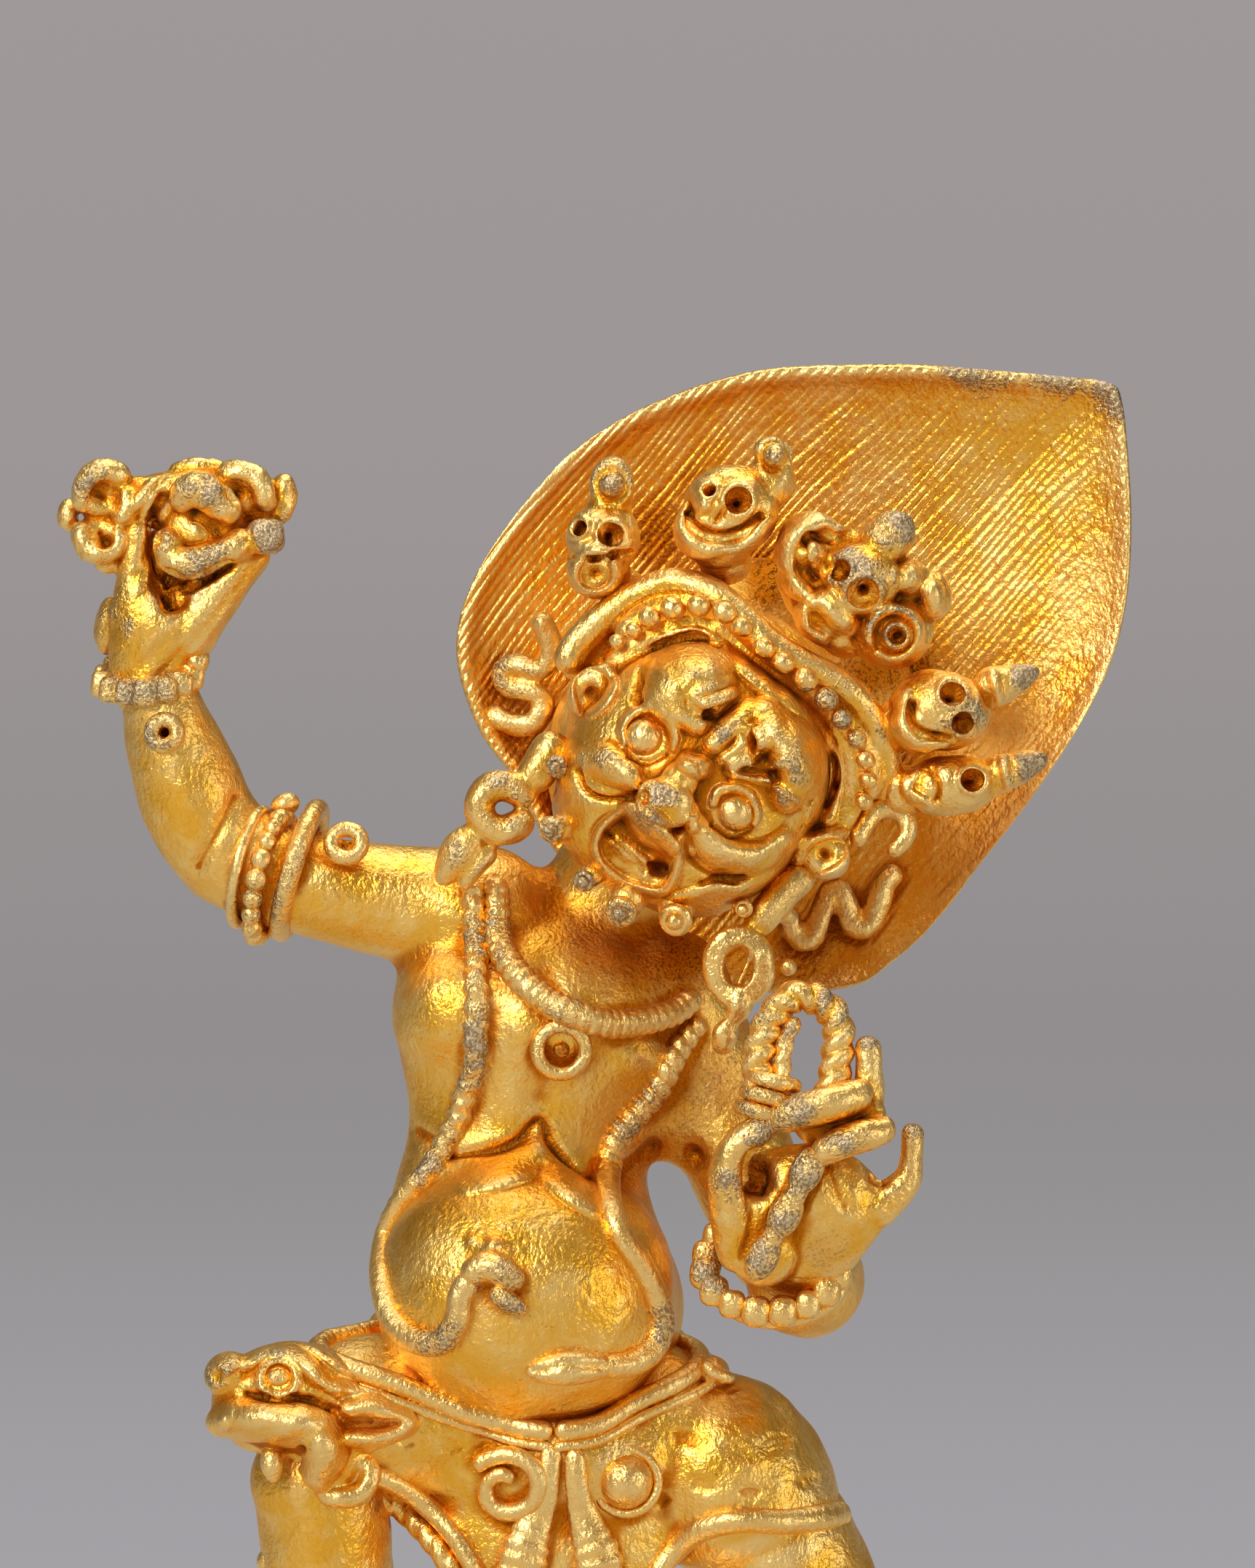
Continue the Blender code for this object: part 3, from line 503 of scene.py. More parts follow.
torso = [
    # trunk, breasts and belly
    limb([(-4.6, 1.0, 66, 6.5), (-5.0, 0.6, 61, 9.4), (-5.6, 0.4, 56.5, 9.0), (-6.2, 0.4, 51.6, 7.5),
          (-6.6, -0.4, 46, 8.6), (-5.6, -0.6, 39, 9.8), (-4.0, -0.2, 32, 9.8)], depth=0.72, sides=48),
    limb([(-10.6, 0.2, 63.6, 4.0), (-10.4, -0.7, 59.0, 4.4),
          (-9.8, -1.1, 54.8, 4.0)], depth=1.25, sides=32),
    limb([(-4.0, -1.2, 62.0, 4.4), (-5.0, -1.6, 58.0, 5.6), (-5.4, -1.8, 54.6, 5.2)], depth=1.0, sides=48),
    limb([(0.2, -0.8, 58.4, 4.2), (-1.0, -1.2, 54.8, 4.0)], depth=1.15, sides=32),
    ball((-6.3, -3.6, 41.7), (9.4, 8.2, 8.5), sides=64, full=0.92),
    # shoulders, left flank and neck
    ball((-9.5, 0.8, 65.2), (5.2, 4.6, 4.8)),
    ball((2.4, 1.2, 60.2), (4.4, 4.4, 4.6)),
    ball((2.8, 1.0, 53.6), (2.9, 3.0, 3.8)),
    limb([(-4.0, 2.4, 60, 4.8), (-1.5, 2.4, 66, 4.2), (1.5, 1.6, 72, 4.2)]),
    # raised right arm, left upper arm and forearm
    limb([(-9.0, 0.8, 65.2, 4.4), (-14.5, 0.4, 66.2, 3.7), (-20.0, 0.0, 67.3, 3.3),
          (-24.4, 0.0, 68.9, 3.4), (-26.4, -0.3, 71.2, 3.5), (-27.6, -0.8, 74.0, 3.5),
          (-28.9, -1.4, 78.0, 2.8), (-29.7, -1.6, 81.4, 2.4)],
         sides=32),
    limb([(2.4, 1.4, 61.0, 4.2), (5.0, 1.6, 55.0, 3.9), (7.2, 1.2, 49.8, 3.6), (9.4, 0.2, 45.2, 3.6),
          (11.2, -2.2, 42.2, 4.1)], sides=32),
    limb([(11.6, -2.0, 42.4, 4.0), (10.9, -6.5, 43.0, 3.8),
          (9.8, -10.0, 44.0, 3.2)], facing=(0, 0, 1), sides=32),
]
torso = fused([fused(torso, TORSO_GRAIN * 1.6, 30)], TORSO_GRAIN, 2)
torso = risen(torso, [
    [(-10.0, 48.9, 0.5, 0.8), (-8.8, 49.3, 0.9, 1.1), (-7.6, 49.7, 1.0, 1.2), (-6.3, 50.2, 1.0, 1.2),
     (-5.4, 51.0, 0.8, 0.8)],
    [(-5.3, 50.6, 0.8, 0.8), (-4.3, 49.3, 0.9, 1.0), (-3.2, 48.3, 0.9, 1.0), (-2.1, 47.4, 0.5, 0.7)],
])
torso = chased(torso, [
    ([(-12.0, 50.4), (-10.4, 50.6), (-8.4, 50.9), (-6.9, 51.5), (-5.5, 52.6), (-4.5, 51.0), (-3.2, 49.8),
      (-1.6, 49.0)],
     0.3, 0.45),
    ([(-28.8, 76.8)], 0.5, 1.0),
    ([(-17.5, 69.9)], 0.6, 0.8),
    ([(-8.2, 44.9)], 0.55, -0.8),
    ([(-9.5, 45.2), (-8.9, 44.6)], 0.4, -0.3),
    ([(-15.0, 52.6), (-13.2, 51.9), (-11.4, 51.0)], 0.5, 0.4),
    ([(-1.8, 49.6), (0.0, 49.8), (1.6, 50.8)], 0.7, 0.5),
    ([(-5.0, 62.0), (-5.2, 58.0), (-5.5, 54.4)], 1.1, 0.35),
    ([(-24.3, 72.8), (-25.6, 70.4), (-26.8, 68.4)], 0.45, 0.3),
    ([(4.0, 50.4)], 0.8, 0.8),
    ([(6.2, 46.9)], 0.7, 0.5),
])
# Grime and painted shade: in the dish under the chin, between the left arm and the chest, in the fold of the
# chest and in the two boss holes.
put("torso_and_arms", uneven(torso, 0.05, 1.6),
    worn=[(-28.5, 74.0, 4.0, 0.15), (-14.0, 55.0, 3.0, 0.2), (-9.0, 39.0, 5.0, 0.15)],
    soiled=[(-3.0, 64.5, 3.2, 0.6), (0.5, 62.0, 3.0, 0.75), (3.6, 62.8, 2.6, 1.3), (3.0, 54.0, 3.4, 0.5),
            (2.0, 50.2, 3.0, 0.5), (6.0, 55.5, 3.6, 0.5), (-5.6, 53.2, 1.6, 0.3),
            (-28.8, 76.8, 0.5, 2.0), (-17.5, 69.9, 0.6, 1.6)])


# Serpent garland and torque
# Cords of wax laid on the wax body and notched with a knife before casting: a ribbed torque on the
# collar bones, and a snake down each side of the chest, their heads meeting over the belly.
RIB_PITCH = 0.66
SCALED_LENGTH = 22.0


def serpent_scales(run, angle):
    """Hammered scales: crossed waves along and round the cord, fading out on the belly."""
    there = np.clip((SCALED_LENGTH + 3 - run) / 6, 0.12, 1)
    wave = np.sin(2 * math.pi * run / 1.1 + np.sin(angle) * 1.6) * np.cos(angle * 2 + run * 0.4)
    return 1.0 + there * (0.13 * wave + 0.05 * np.sin(run * 1.7 + angle))


def serpent_notches(run, angle):
    """Slanting knife notches, fading out on the belly."""
    there = np.clip((SCALED_LENGTH - 8 - run) / 5, 0.12, 1)
    return 1.05 - 0.26 * there * np.clip(np.sin(2 * math.pi * run / 0.95 + angle), 0, 1) ** 2


def torque_ribs(run, angle):
    """Round ribs with a narrow notch between each two."""
    return 0.90 + 0.17 * np.abs(np.sin(math.pi * run / RIB_PITCH + 0.3 * np.sin(run * 1.3))) ** 0.6


def touching(skin):
    """The skin as a tree that rays can be cast at."""
    points, triangles = skin
    return BVHTree.FromPolygons(points.tolist(), triangles.tolist())


def laid(tree, route, sink=0.45, depth=0.95, ripple=None, sides=24, step=0.12):
    """Cord on the front of a skin, along x, z and radius, sunk into it by a share of its radius."""
    path = through(route, 8)
    hits = [tree.ray_cast((x, -60, z), (0, 1, 0), 120)[0] or (0, np.nan, 0) for x, z, _ in path]
    front = np.array(hits)[:, 1]
    known = ~np.isnan(front)
    steps = np.arange(len(path))
    front = np.interp(steps, steps[known], front[known])
    front = np.convolve(np.pad(front, 3, "edge"), np.full(7, 1 / 7), "valid")
    line = np.stack([path[:, 0], front - path[:, 2] * (1 - sink) * depth, path[:, 1], path[:, 2]], 1)
    return sweep(line, depth, sides=sides, step=step, ripple=ripple)


def depth_at(tree, x, z):
    """How far back the skin's front lies at a point of the front view."""
    return tree.ray_cast((x, -60, z), (0, 1, 0), 120)[0][1]


def plane_of(normal):
    """Unit axis of a ring and two directions at right angles in its plane."""
    axis = np.asarray(normal, float) / np.linalg.norm(normal)
    first = np.cross(axis, (0, 1, 0) if abs(axis[1]) < 0.9 else (0, 0, 1))
    first /= np.linalg.norm(first)
    return axis, first, np.cross(axis, first)


def hoop(centre, reach, radius, normal=(0, -1, 0), sides=18, steps=64):
    """Ring of round wire: reach is its two half-sizes."""
    axis, first, second = plane_of(normal)
    turn = np.linspace(0, 2 * math.pi, steps, endpoint=False)[:, None]
    angle = np.linspace(0, 2 * math.pi, sides, endpoint=False)[None]
    spoke = first * np.cos(turn) * reach[0] + second * np.sin(turn) * reach[1]
    out = spoke / np.linalg.norm(spoke, axis=1, keepdims=True)
    wire = out[:, None] * np.cos(angle)[..., None] + axis * np.sin(angle)[..., None]
    points = np.asarray(centre, float) + spoke[:, None] + radius * wire
    index = np.arange(steps * sides).reshape(steps, sides)
    beside, beyond = np.roll(index, -1, 1), np.roll(index, -1, 0)
    corner = np.roll(beyond, -1, 1)
    triangles = np.vstack([np.stack([index, corner, beside], -1).reshape(-1, 3),
                           np.stack([index, beyond, corner], -1).reshape(-1, 3)])
    return points.reshape(-1, 3), triangles


def setting(centre, radius, wire, normal=(0, -1, 0)):
    """Jewel setting: a ring of wire with a bead sunk in it."""
    bead = np.asarray(centre) - 0.5 * wire * np.asarray(normal)
    return [hoop(centre, (radius, radius), wire, normal), ball(bead, (radius * 0.36,) * 3, sides=20)]


body = touching(torso)
lower_head = laid(body, [(-1.0, 37.6, 0.6), (-2.4, 37.6, 1.0), (-4.0, 37.5, 1.1), (-5.2, 37.4, 0.8),
                         (-6.3, 37.3, 0.25)], depth=0.8)
lower_head = chased(lower_head, [([(-1.4, 37.6), (-3.8, 37.7), (-5.8, 37.35)], 0.16, 0.35)])
cords = [
    # torque
    laid(body, [(-8.2, 67.8, 0.75), (-8.1, 65.7, 0.82), (-8.1, 64.1, 0.88), (-7.4, 62.5, 0.9),
                (-6.2, 61.1, 0.92), (-4.8, 60.0, 0.92), (-3.0, 59.2, 0.92), (-1.1, 58.7, 0.9),
                (1.2, 58.9, 0.85), (3.1, 59.5, 0.8), (4.4, 60.6, 0.7)], sink=0.2, ripple=torque_ribs),
    # serpent at each side of the chest
    laid(body, [(-9.7, 67.6, 0.75), (-9.5, 65.0, 0.75), (-9.4, 62.7, 0.75), (-9.4, 60.4, 0.78),
                (-9.4, 58.0, 0.78), (-9.5, 56.0, 0.75), (-10.1, 54.1, 0.75), (-11.0, 51.8, 0.75),
                (-12.4, 49.5, 0.75), (-14.1, 47.6, 0.72), (-15.1, 45.3, 0.72), (-15.3, 43.0, 0.75),
                (-14.7, 40.7, 0.8), (-13.4, 39.3, 0.85), (-11.6, 39.1, 0.85), (-10.6, 40.4, 0.8),
                (-10.3, 42.0, 0.8), (-9.5, 43.3, 0.85)], ripple=serpent_scales),
    laid(body, [(4.7, 59.0, 0.6), (3.1, 56.9, 0.75), (1.9, 54.6, 0.78), (0.3, 52.7, 0.8),
                (-0.7, 51.3, 0.8), (-1.2, 49.5, 0.78), (-1.1, 47.6, 0.75), (-0.4, 45.7, 0.75),
                (0.8, 43.9, 0.75), (1.7, 42.0, 0.75), (2.1, 40.2, 0.8), (1.5, 38.6, 0.85),
                (0.1, 37.7, 0.8), (-1.6, 37.6, 0.7)], ripple=serpent_notches),
    # their heads: an open jaw above with an eye, a closed one below
    laid(body, [(-10.2, 43.0, 0.8), (-8.7, 43.8, 1.0), (-7.3, 43.2, 0.95), (-6.6, 42.5, 0.5)], depth=1.1),
    laid(body, [(-8.4, 42.6, 0.8), (-7.4, 41.7, 0.7), (-6.2, 41.0, 0.4)], depth=1.1),
    lower_head,
    ball((-7.6, depth_at(body, -7.6, 43.2) - 0.9, 43.3), (0.32, 0.3, 0.32), sides=16),
]
cords += setting((-4.1, depth_at(body, -4.1, 57.1) - 0.3, 57.1), 1.48, 0.46)
# Painted shade, with some grime, in the socket of the jewel setting.
put("serpents_and_torque", joined(cords),
    worn=[(-9.5, 57.5, 3.4, 0.4), (-12.0, 50.0, 2.5, 0.4), (-9.4, 64.0, 2.5, 0.3),
          (-11.6, 39.2, 1.6, 0.35), (-7.4, 42.4, 2.0, 0.35), (0.4, 53.0, 3.0, 0.3),
          (2.1, 40.0, 2.0, 0.3), (-4.0, 59.6, 3.0, 0.15)],
    soiled=[(-4.1, 57.1, 0.9, 1.0)])


# Armlets, bracelets and arm bosses
# Rings of wire and strings of beads pressed into the wax arms above the elbow and at both wrists,
# with small ring settings beside them, and cast with the arms.
def beads_round(centre, reach, normal, count, radius, start=0.0, full=1.0):
    """Beads at equal angles on a ring about a centre: reach is the ring's two half-sizes."""
    _, first, second = plane_of(normal)
    turns = start + 2 * math.pi * np.arange(count) / count
    spots = np.asarray(centre) + np.outer(np.cos(turns) * reach[0], first)
    spots = spots + np.outer(np.sin(turns) * reach[1], second)
    sizes = radius * (1.0 + 0.07 * np.sin(5 * turns))
    return [ball(spot, (size, size, size * 1.1), 0.1, 20, full) for spot, size in zip(spots, sizes)]


armlet_axis = (1.0, -0.22, -0.24)
wrist_axis = (0.12, 0.40, -1.0)
armlets = [
    hoop((-20.5, 0.0, 68.2), (4.0, 3.8), 0.66, (1.0, -0.12, -0.30)),
    hoop((-23.6, 0.0, 68.4), (3.6, 3.5), 0.38, armlet_axis),
    ball((-21.4, 0.3, 72.3), (0.95, 0.9, 0.75), -0.4),
    *beads_round((-22.3, 0.0, 67.8), (3.75, 3.7), armlet_axis, 19, 0.66),
    *beads_round((-29.9, -1.5, 80.3), (2.85, 2.75), wrist_axis, 14, 0.76, 0.3, 0.55),
    hoop((-29.9, -1.5, 80.7), (2.6, 2.5), 0.5, wrist_axis),
    limb([(-27.4, -2.6, 80.6, 0.75), (-26.8, -2.4, 81.3, 0.8), (-26.9, -2.0, 82.2, 0.6)]),
    hoop((-17.5, -3.3, 69.9), (0.95, 0.95), 0.5, (0.0, -1.0, 0.35)),
    hoop((-28.8, -4.1, 76.8), (0.8, 0.8), 0.52, (-0.1, -1.0, 0.1)),
    *beads_round((8.9, -10.4, 43.9), (4.2, 3.2), (0.1, 1.0, -0.45), 16, 0.9, 0.2, 0.75),
    hoop((9.3, -9.4, 43.2), (4.1, 3.1), 0.5, (0.1, 1.0, -0.45)),
]
put("armlets_and_bracelets", joined(armlets),
    worn=[(-29.3, 76.4, 1.2, 0.45), (-20.0, 68.0, 2.0, 0.2), (-22.8, 66.0, 2.0, 0.25),
          (5.0, 43.6, 1.4, 0.5), (-30.5, 79.6, 2.6, 0.35)])


# Right hand with the thunderbolt
# The hand bends back at the wrist and closes on the middle of a double thunderbolt, whose four
# prongs arch together at each end; cast in one and rubbed to bare grey at the fingertips.
HAND_GRAIN = 0.1
right_hand = [
    # palm, its two edges and the wall behind the hollow
    limb([(-29.8, -1.6, 77.6, 2.5), (-29.8, -1.7, 81.0, 2.6), (-29.2, -1.8, 83.6, 3.3),
          (-28.4, -1.8, 86.6, 3.2)],
         depth=0.75, sides=32),
    limb([(-30.2, -1.8, 82.0, 1.9), (-30.5, -2.2, 85.0, 1.6), (-30.7, -2.5, 87.6, 1.0),
          (-30.4, -2.8, 90.1, 0.8)]),
    limb([(-28.4, -1.8, 81.4, 2.0), (-26.6, -2.2, 84.4, 1.9), (-24.6, -2.4, 86.9, 1.6),
          (-22.6, -2.6, 88.9, 1.2)]),
    ball((-27.2, -0.9, 87.4), (3.5, 1.6, 2.8)),
    ball((-25.6, -2.4, 88.3), (3.2, 1.8, 2.0), 0.5),
    # middle finger and thumb
    limb([(-28.4, -3.3, 89.6, 1.0), (-28.5, -3.6, 88.0, 1.05), (-27.5, -3.9, 87.3, 1.05),
          (-26.0, -4.1, 87.7, 1.0), (-24.6, -4.0, 88.3, 1.05), (-23.2, -3.9, 88.8, 1.1)]),
    ball((-22.5, -3.9, 89.0), (1.2, 1.2, 1.15), full=0.8),
    ball((-26.3, -2.6, 89.4), (2.7, 1.7, 2.0)),
    # forefinger
    limb([(-27.8, -3.4, 90.6, 0.9), (-27.4, -4.0, 91.8, 1.1), (-26.4, -4.2, 91.8, 1.15),
          (-25.2, -4.1, 90.9, 1.1), (-24.3, -3.8, 90.0, 0.9)]),
    # shaft with slanting petals
    limb([(-33.0, -1.8, 91.0, 1.3), (-30.0, -1.8, 91.2, 1.7), (-26.0, -1.8, 91.4, 1.9),
          (-22.4, -1.8, 91.4, 1.2)]),
    *[limb([(-31.2 + 0.9 * k, -2.6, 89.9 + 0.1 * k, 0.35), (-30.4 + 0.9 * k, -3.4, 91.2, 0.5),
            (-29.2 + 0.9 * k, -3.0, 92.6, 0.4)]) for k in range(3)],
    limb([(-28.6, -1.4, 93.0, 0.5), (-26.8, -1.6, 93.4, 0.65), (-25.0, -1.6, 93.2, 0.5)]),
    # left head of the thunderbolt
    ball((-32.7, -1.8, 91.4), (1.7, 1.9, 1.6)),
    limb([(-31.0, -2.4, 92.3, 0.7), (-32.2, -2.9, 92.9, 1.0), (-33.2, -3.0, 92.6, 1.1),
          (-33.7, -3.0, 91.5, 1.0), (-33.4, -2.9, 90.6, 0.8)]),
    limb([(-31.5, -2.7, 92.3, 0.8), (-31.2, -3.0, 91.0, 0.85), (-31.6, -2.9, 89.6, 0.8)]),
    ball((-32.9, -1.9, 88.9), (1.65, 1.9, 1.6)),
    limb([(-34.0, -2.7, 90.0, 0.7), (-33.8, -3.1, 88.6, 0.8), (-32.9, -3.3, 88.0, 0.85),
          (-31.9, -3.1, 88.6, 0.8), (-31.7, -2.8, 89.8, 0.7)]),
    ball((-32.3, -2.2, 87.4), (0.95, 0.9, 0.7)),
    ball((-34.9, -1.4, 90.4), (0.7, 0.8, 1.05)),
    # right head
    ball((-23.6, -1.6, 91.4), (2.0, 1.5, 1.8)),
    limb([(-25.6, -2.6, 92.8, 0.75), (-24.4, -2.8, 93.0, 0.8), (-23.2, -3.0, 92.7, 0.8),
          (-22.6, -3.1, 91.7, 0.75), (-22.6, -3.0, 90.6, 0.7)]),
    limb([(-25.0, -2.6, 92.1, 0.5), (-24.1, -2.8, 92.2, 0.55), (-23.6, -2.7, 91.5, 0.5)]),
    limb([(-21.5, -1.6, 93.0, 0.75), (-21.4, -1.8, 91.5, 0.8), (-21.9, -1.9, 89.8, 0.8)]),
    # boss on the back of the wrist
    ball((-32.3, -0.8, 83.5), (1.0, 1.6, 1.9), 0.1),
]
right_hand = chased(fused(right_hand, HAND_GRAIN, 4), [
    ([(-28.7, 86.1), (-28.3, 85.0)], 0.6, 1.6),
    ([(-27.4, 85.9), (-26.0, 86.5), (-24.8, 87.2)], 0.3, 0.6),
    ([(-32.7, 91.5)], 0.8, 0.9),
    ([(-32.8, 89.4), (-32.5, 88.8)], 0.5, 0.8),
    ([(-24.4, 91.6)], 0.45, 0.7),
    ([(-26.9, 90.2), (-25.6, 89.4)], 0.45, 0.4),
    ([(-29.4, 88.8), (-29.5, 90.4), (-28.9, 91.6)], 0.3, 0.6),
])
# Painted shade, with some grime, in the hollow of the palm and the crease beside it.
put("right_hand_and_thunderbolt", uneven(right_hand, 0.05, 0.6),
    worn=[(-22.2, 89.1, 1.2, 1.0), (-26.4, 87.4, 1.5, 0.5), (-26.2, 91.8, 1.5, 0.45),
          (-31.5, 84.0, 1.8, 0.4), (-33.4, 92.4, 1.2, 0.4), (-28.9, 88.6, 0.7, 0.5)],
    soiled=[(-28.2, 85.8, 0.9, 1.1), (-26.0, 86.7, 0.6, 0.9)])


# Left hand with the noose
# The hand comes forward, palm up, and holds a coiled noose of twisted rope: a loop standing up, two
# turns round the fingers and a tail that hangs down the palm.
ROPE = 0.98               # radius


def twisted(run, angle):
    """Two strands, one turn in 2.6: the radius grows with the size of the sine of angle less run."""
    return 0.84 + 0.26 * np.abs(np.sin(angle - math.pi * run / 1.3)) ** 1.2


left_hand = [
    limb([(9.2, -10.4, 42.2, 2.9), (10.6, -11.4, 46.0, 4.3), (11.8, -12.0, 49.2, 5.0),
          (12.4, -12.2, 51.4, 4.0)],
         depth=0.5, sides=36),
    limb([(14.4, -12.2, 46.6, 1.5), (17.0, -12.2, 48.9, 1.0), (17.5, -12.4, 50.4, 0.75),
          (17.6, -12.4, 52.7, 0.7)]),
    limb([(14.2, -12.8, 51.6, 1.2), (14.9, -13.2, 55.0, 0.95), (14.75, -13.2, 58.1, 0.8)]),
    limb([(8.8, -14.2, 52.8, 0.9), (10.2, -15.0, 53.3, 1.1), (12.6, -15.3, 54.0, 1.15),
          (15.0, -14.2, 54.7, 1.0)]),
    limb([(11.4, -14.8, 50.6, 0.8), (12.7, -15.3, 51.3, 1.0), (14.6, -15.2, 52.0, 1.0),
          (16.4, -14.0, 52.5, 0.85)]),
    limb([(7.3, -11.6, 43.6, 1.7), (6.4, -13.2, 47.4, 1.4), (6.3, -13.9, 50.2, 1.2),
          (7.2, -14.3, 51.7, 1.1), (8.9, -14.6, 52.7, 0.9)]),
    limb([(8.6, -12.2, 42.6, 2.4), (8.4, -12.6, 46.0, 2.2), (8.8, -12.8, 49.6, 1.8)], depth=0.7),
    ball((13.0, -13.6, 53.0), (3.0, 1.4, 2.0)),
]
left_hand = chased(fused(left_hand, HAND_GRAIN * 1.1, 5), [
    ([(15.5, 50.2), (15.5, 49.4)], 0.45, 0.9),
    ([(8.0, 50.2), (8.1, 48.8)], 0.7, 1.1),
    ([(12.4, 50.0), (13.4, 47.6)], 0.5, 0.25),
])
# Painted shade, with some grime, in the two pressed holes between the fingers and at the root of the palm.
put("left_hand", uneven(left_hand, 0.05, 0.9),
    worn=[(10.8, 53.4, 1.2, 0.5), (13.4, 51.6, 1.2, 0.5), (14.8, 57.9, 0.8, 0.6), (17.6, 52.5, 0.8, 0.5),
          (8.4, 52.4, 1.3, 0.5), (6.0, 48.8, 1.0, 0.5)],
    soiled=[(8.0, 49.8, 1.1, 1.1), (15.5, 50.0, 0.6, 1.1), (12.0, 44.6, 2.0, 0.4)])


rope = [
    limb([(8.6, -13.8, 51.6, ROPE), (8.1, -13.6, 54.4, ROPE), (8.15, -13.2, 57.0, ROPE),
          (8.9, -12.9, 59.2, ROPE), (10.4, -12.8, 60.5, ROPE), (12.0, -12.8, 60.1, ROPE),
          (12.95, -12.9, 58.8, ROPE), (12.95, -13.1, 57.0, ROPE), (12.7, -13.4, 55.4, ROPE),
          (12.2, -13.6, 53.6, ROPE)], step=0.1, sides=28, ripple=twisted),
    limb([(9.6, -14.1, 53.0, 0.55), (9.5, -13.9, 55.6, 0.55), (9.75, -13.5, 57.8, 0.52),
          (10.5, -13.3, 59.2, 0.45)],
         step=0.1, ripple=twisted),
    limb([(11.6, -14.6, 51.2, 0.6), (10.4, -14.9, 48.5, 0.7), (9.0, -14.7, 45.8, 0.7),
          (7.8, -14.2, 43.6, 0.6)]),
    *[ball((x, y, z), (1.02, 0.85, 1.6), 0.46, 36) for x, y, z in
      ((11.0, -15.0, 49.8), (9.7, -14.9, 47.1), (8.3, -14.5, 44.5))],
    *[hoop((8.2 + 0.4 * k, -13.6, 53.4 + 0.95 * k), (1.3, 1.3), 0.5, (0.25, 0.0, 1.0)) for k in range(3)],
]
put("noose", joined(rope),
    worn=[(11.0, 49.8, 1.4, 0.45), (9.7, 47.1, 1.4, 0.45), (8.3, 44.4, 1.4, 0.5), (9.0, 58.6, 2.0, 0.3),
          (12.6, 60.0, 1.6, 0.35), (8.0, 54.4, 1.4, 0.3)])


# Head
# A round skull leaning to the right with a broad face: ball eyes, domed and curled brows, a square
# worn nose, rolled cheeks and an open mouth, all modelled in wax before casting.
HEAD_GRAIN = 0.14
HEAD_X, HEAD_Z = 3.77, 74.05
HEAD_ROLL = math.radians(37.3)


def seen(across, up):
    """Place in the front view of a place on the leaning head, measured from between its eyes."""
    return (HEAD_X + across * math.cos(HEAD_ROLL) + up * math.sin(HEAD_ROLL),
            HEAD_Z - across * math.sin(HEAD_ROLL) + up * math.cos(HEAD_ROLL))


def on_head(points):
    """Rows of across, up, depth and radius on the head as rows of x, y, z and radius."""
    return [(seen(a, b)[0], depth, seen(a, b)[1], radius) for a, b, depth, radius in points]


def head_ball(across, up, depth, radii, roll=0.0, **shape):
    x, z = seen(across, up)
    return ball((x, depth, z), radii, HEAD_ROLL + roll, **shape)


def head_limb(points, **section):
    return limb(on_head(points), **section)


def head_strokes(strokes):
    """Strokes whose routes are given on the head."""
    return [([seen(a, b) for a, b in route], width, depth) for route, width, depth in strokes]


def head_forms(forms):
    """Forms whose routes are given on the head."""
    return [[(*seen(a, b), height, half) for a, b, height, half in route] for route in forms]


band_places = [(-7.6, 0.6), (-7.5, 3.2), (-6.9, 5.8), (-5.6, 8.0), (-3.4, 8.6), (0.2, 8.4), (3.4, 8.0),
               (6.4, 7.7), (8.2, 6.4), (9.0, 4.2), (8.9, 1.8), (8.2, -0.4)]
head_base = [
    head_ball(0.3, 2.3, -0.6, (9.4, 7.6, 9.2)),
    head_ball(0.3, 0.1, -4.9, (8.0, 6.3, 8.4), sides=64, full=0.86),
    head_ball(-0.6, -5.0, -5.2, (5.6, 4.4, 3.6)),
    head_limb([(a, b, -6.3 + 0.014 * a * a, 1.0) for a, b in band_places], depth=0.8, sides=28),
    head_limb([(-0.4, 0.7, -10.6, 0.9), (-0.3, -0.5, -11.5, 1.15), (-0.2, -1.8, -12.0, 1.25)]),
    head_ball(-0.2, -2.2, -11.9, (1.8, 1.4, 1.45), 0.25 - HEAD_ROLL, full=0.7),
    head_ball(-1.2, -2.8, -11.4, (0.7, 0.8, 0.7)),
    head_ball(1.3, -1.8, -11.4, (0.75, 0.9, 0.85)),
    head_ball(2.0, -2.3, -11.2, (0.5, 0.7, 0.5)),
    head_ball(-8.0, 0.6, -5.4, (1.4, 1.3, 1.8)),
    head_ball(9.7, 1.3, -5.6, (1.7, 1.4, 1.5)),
]
face_hollows = [
    ([(-3.5, 0.2)], 1.35, 0.35),
    ([(3.7, -0.1)], 1.35, 0.35),
    ([(-1.6, -5.5), (0.1, -5.9), (1.7, -5.8)], 1.1, 1.2),
    ([(-8.2, 0.5)], 0.6, 0.9),
    ([(9.7, 1.3)], 0.6, 0.9),
]
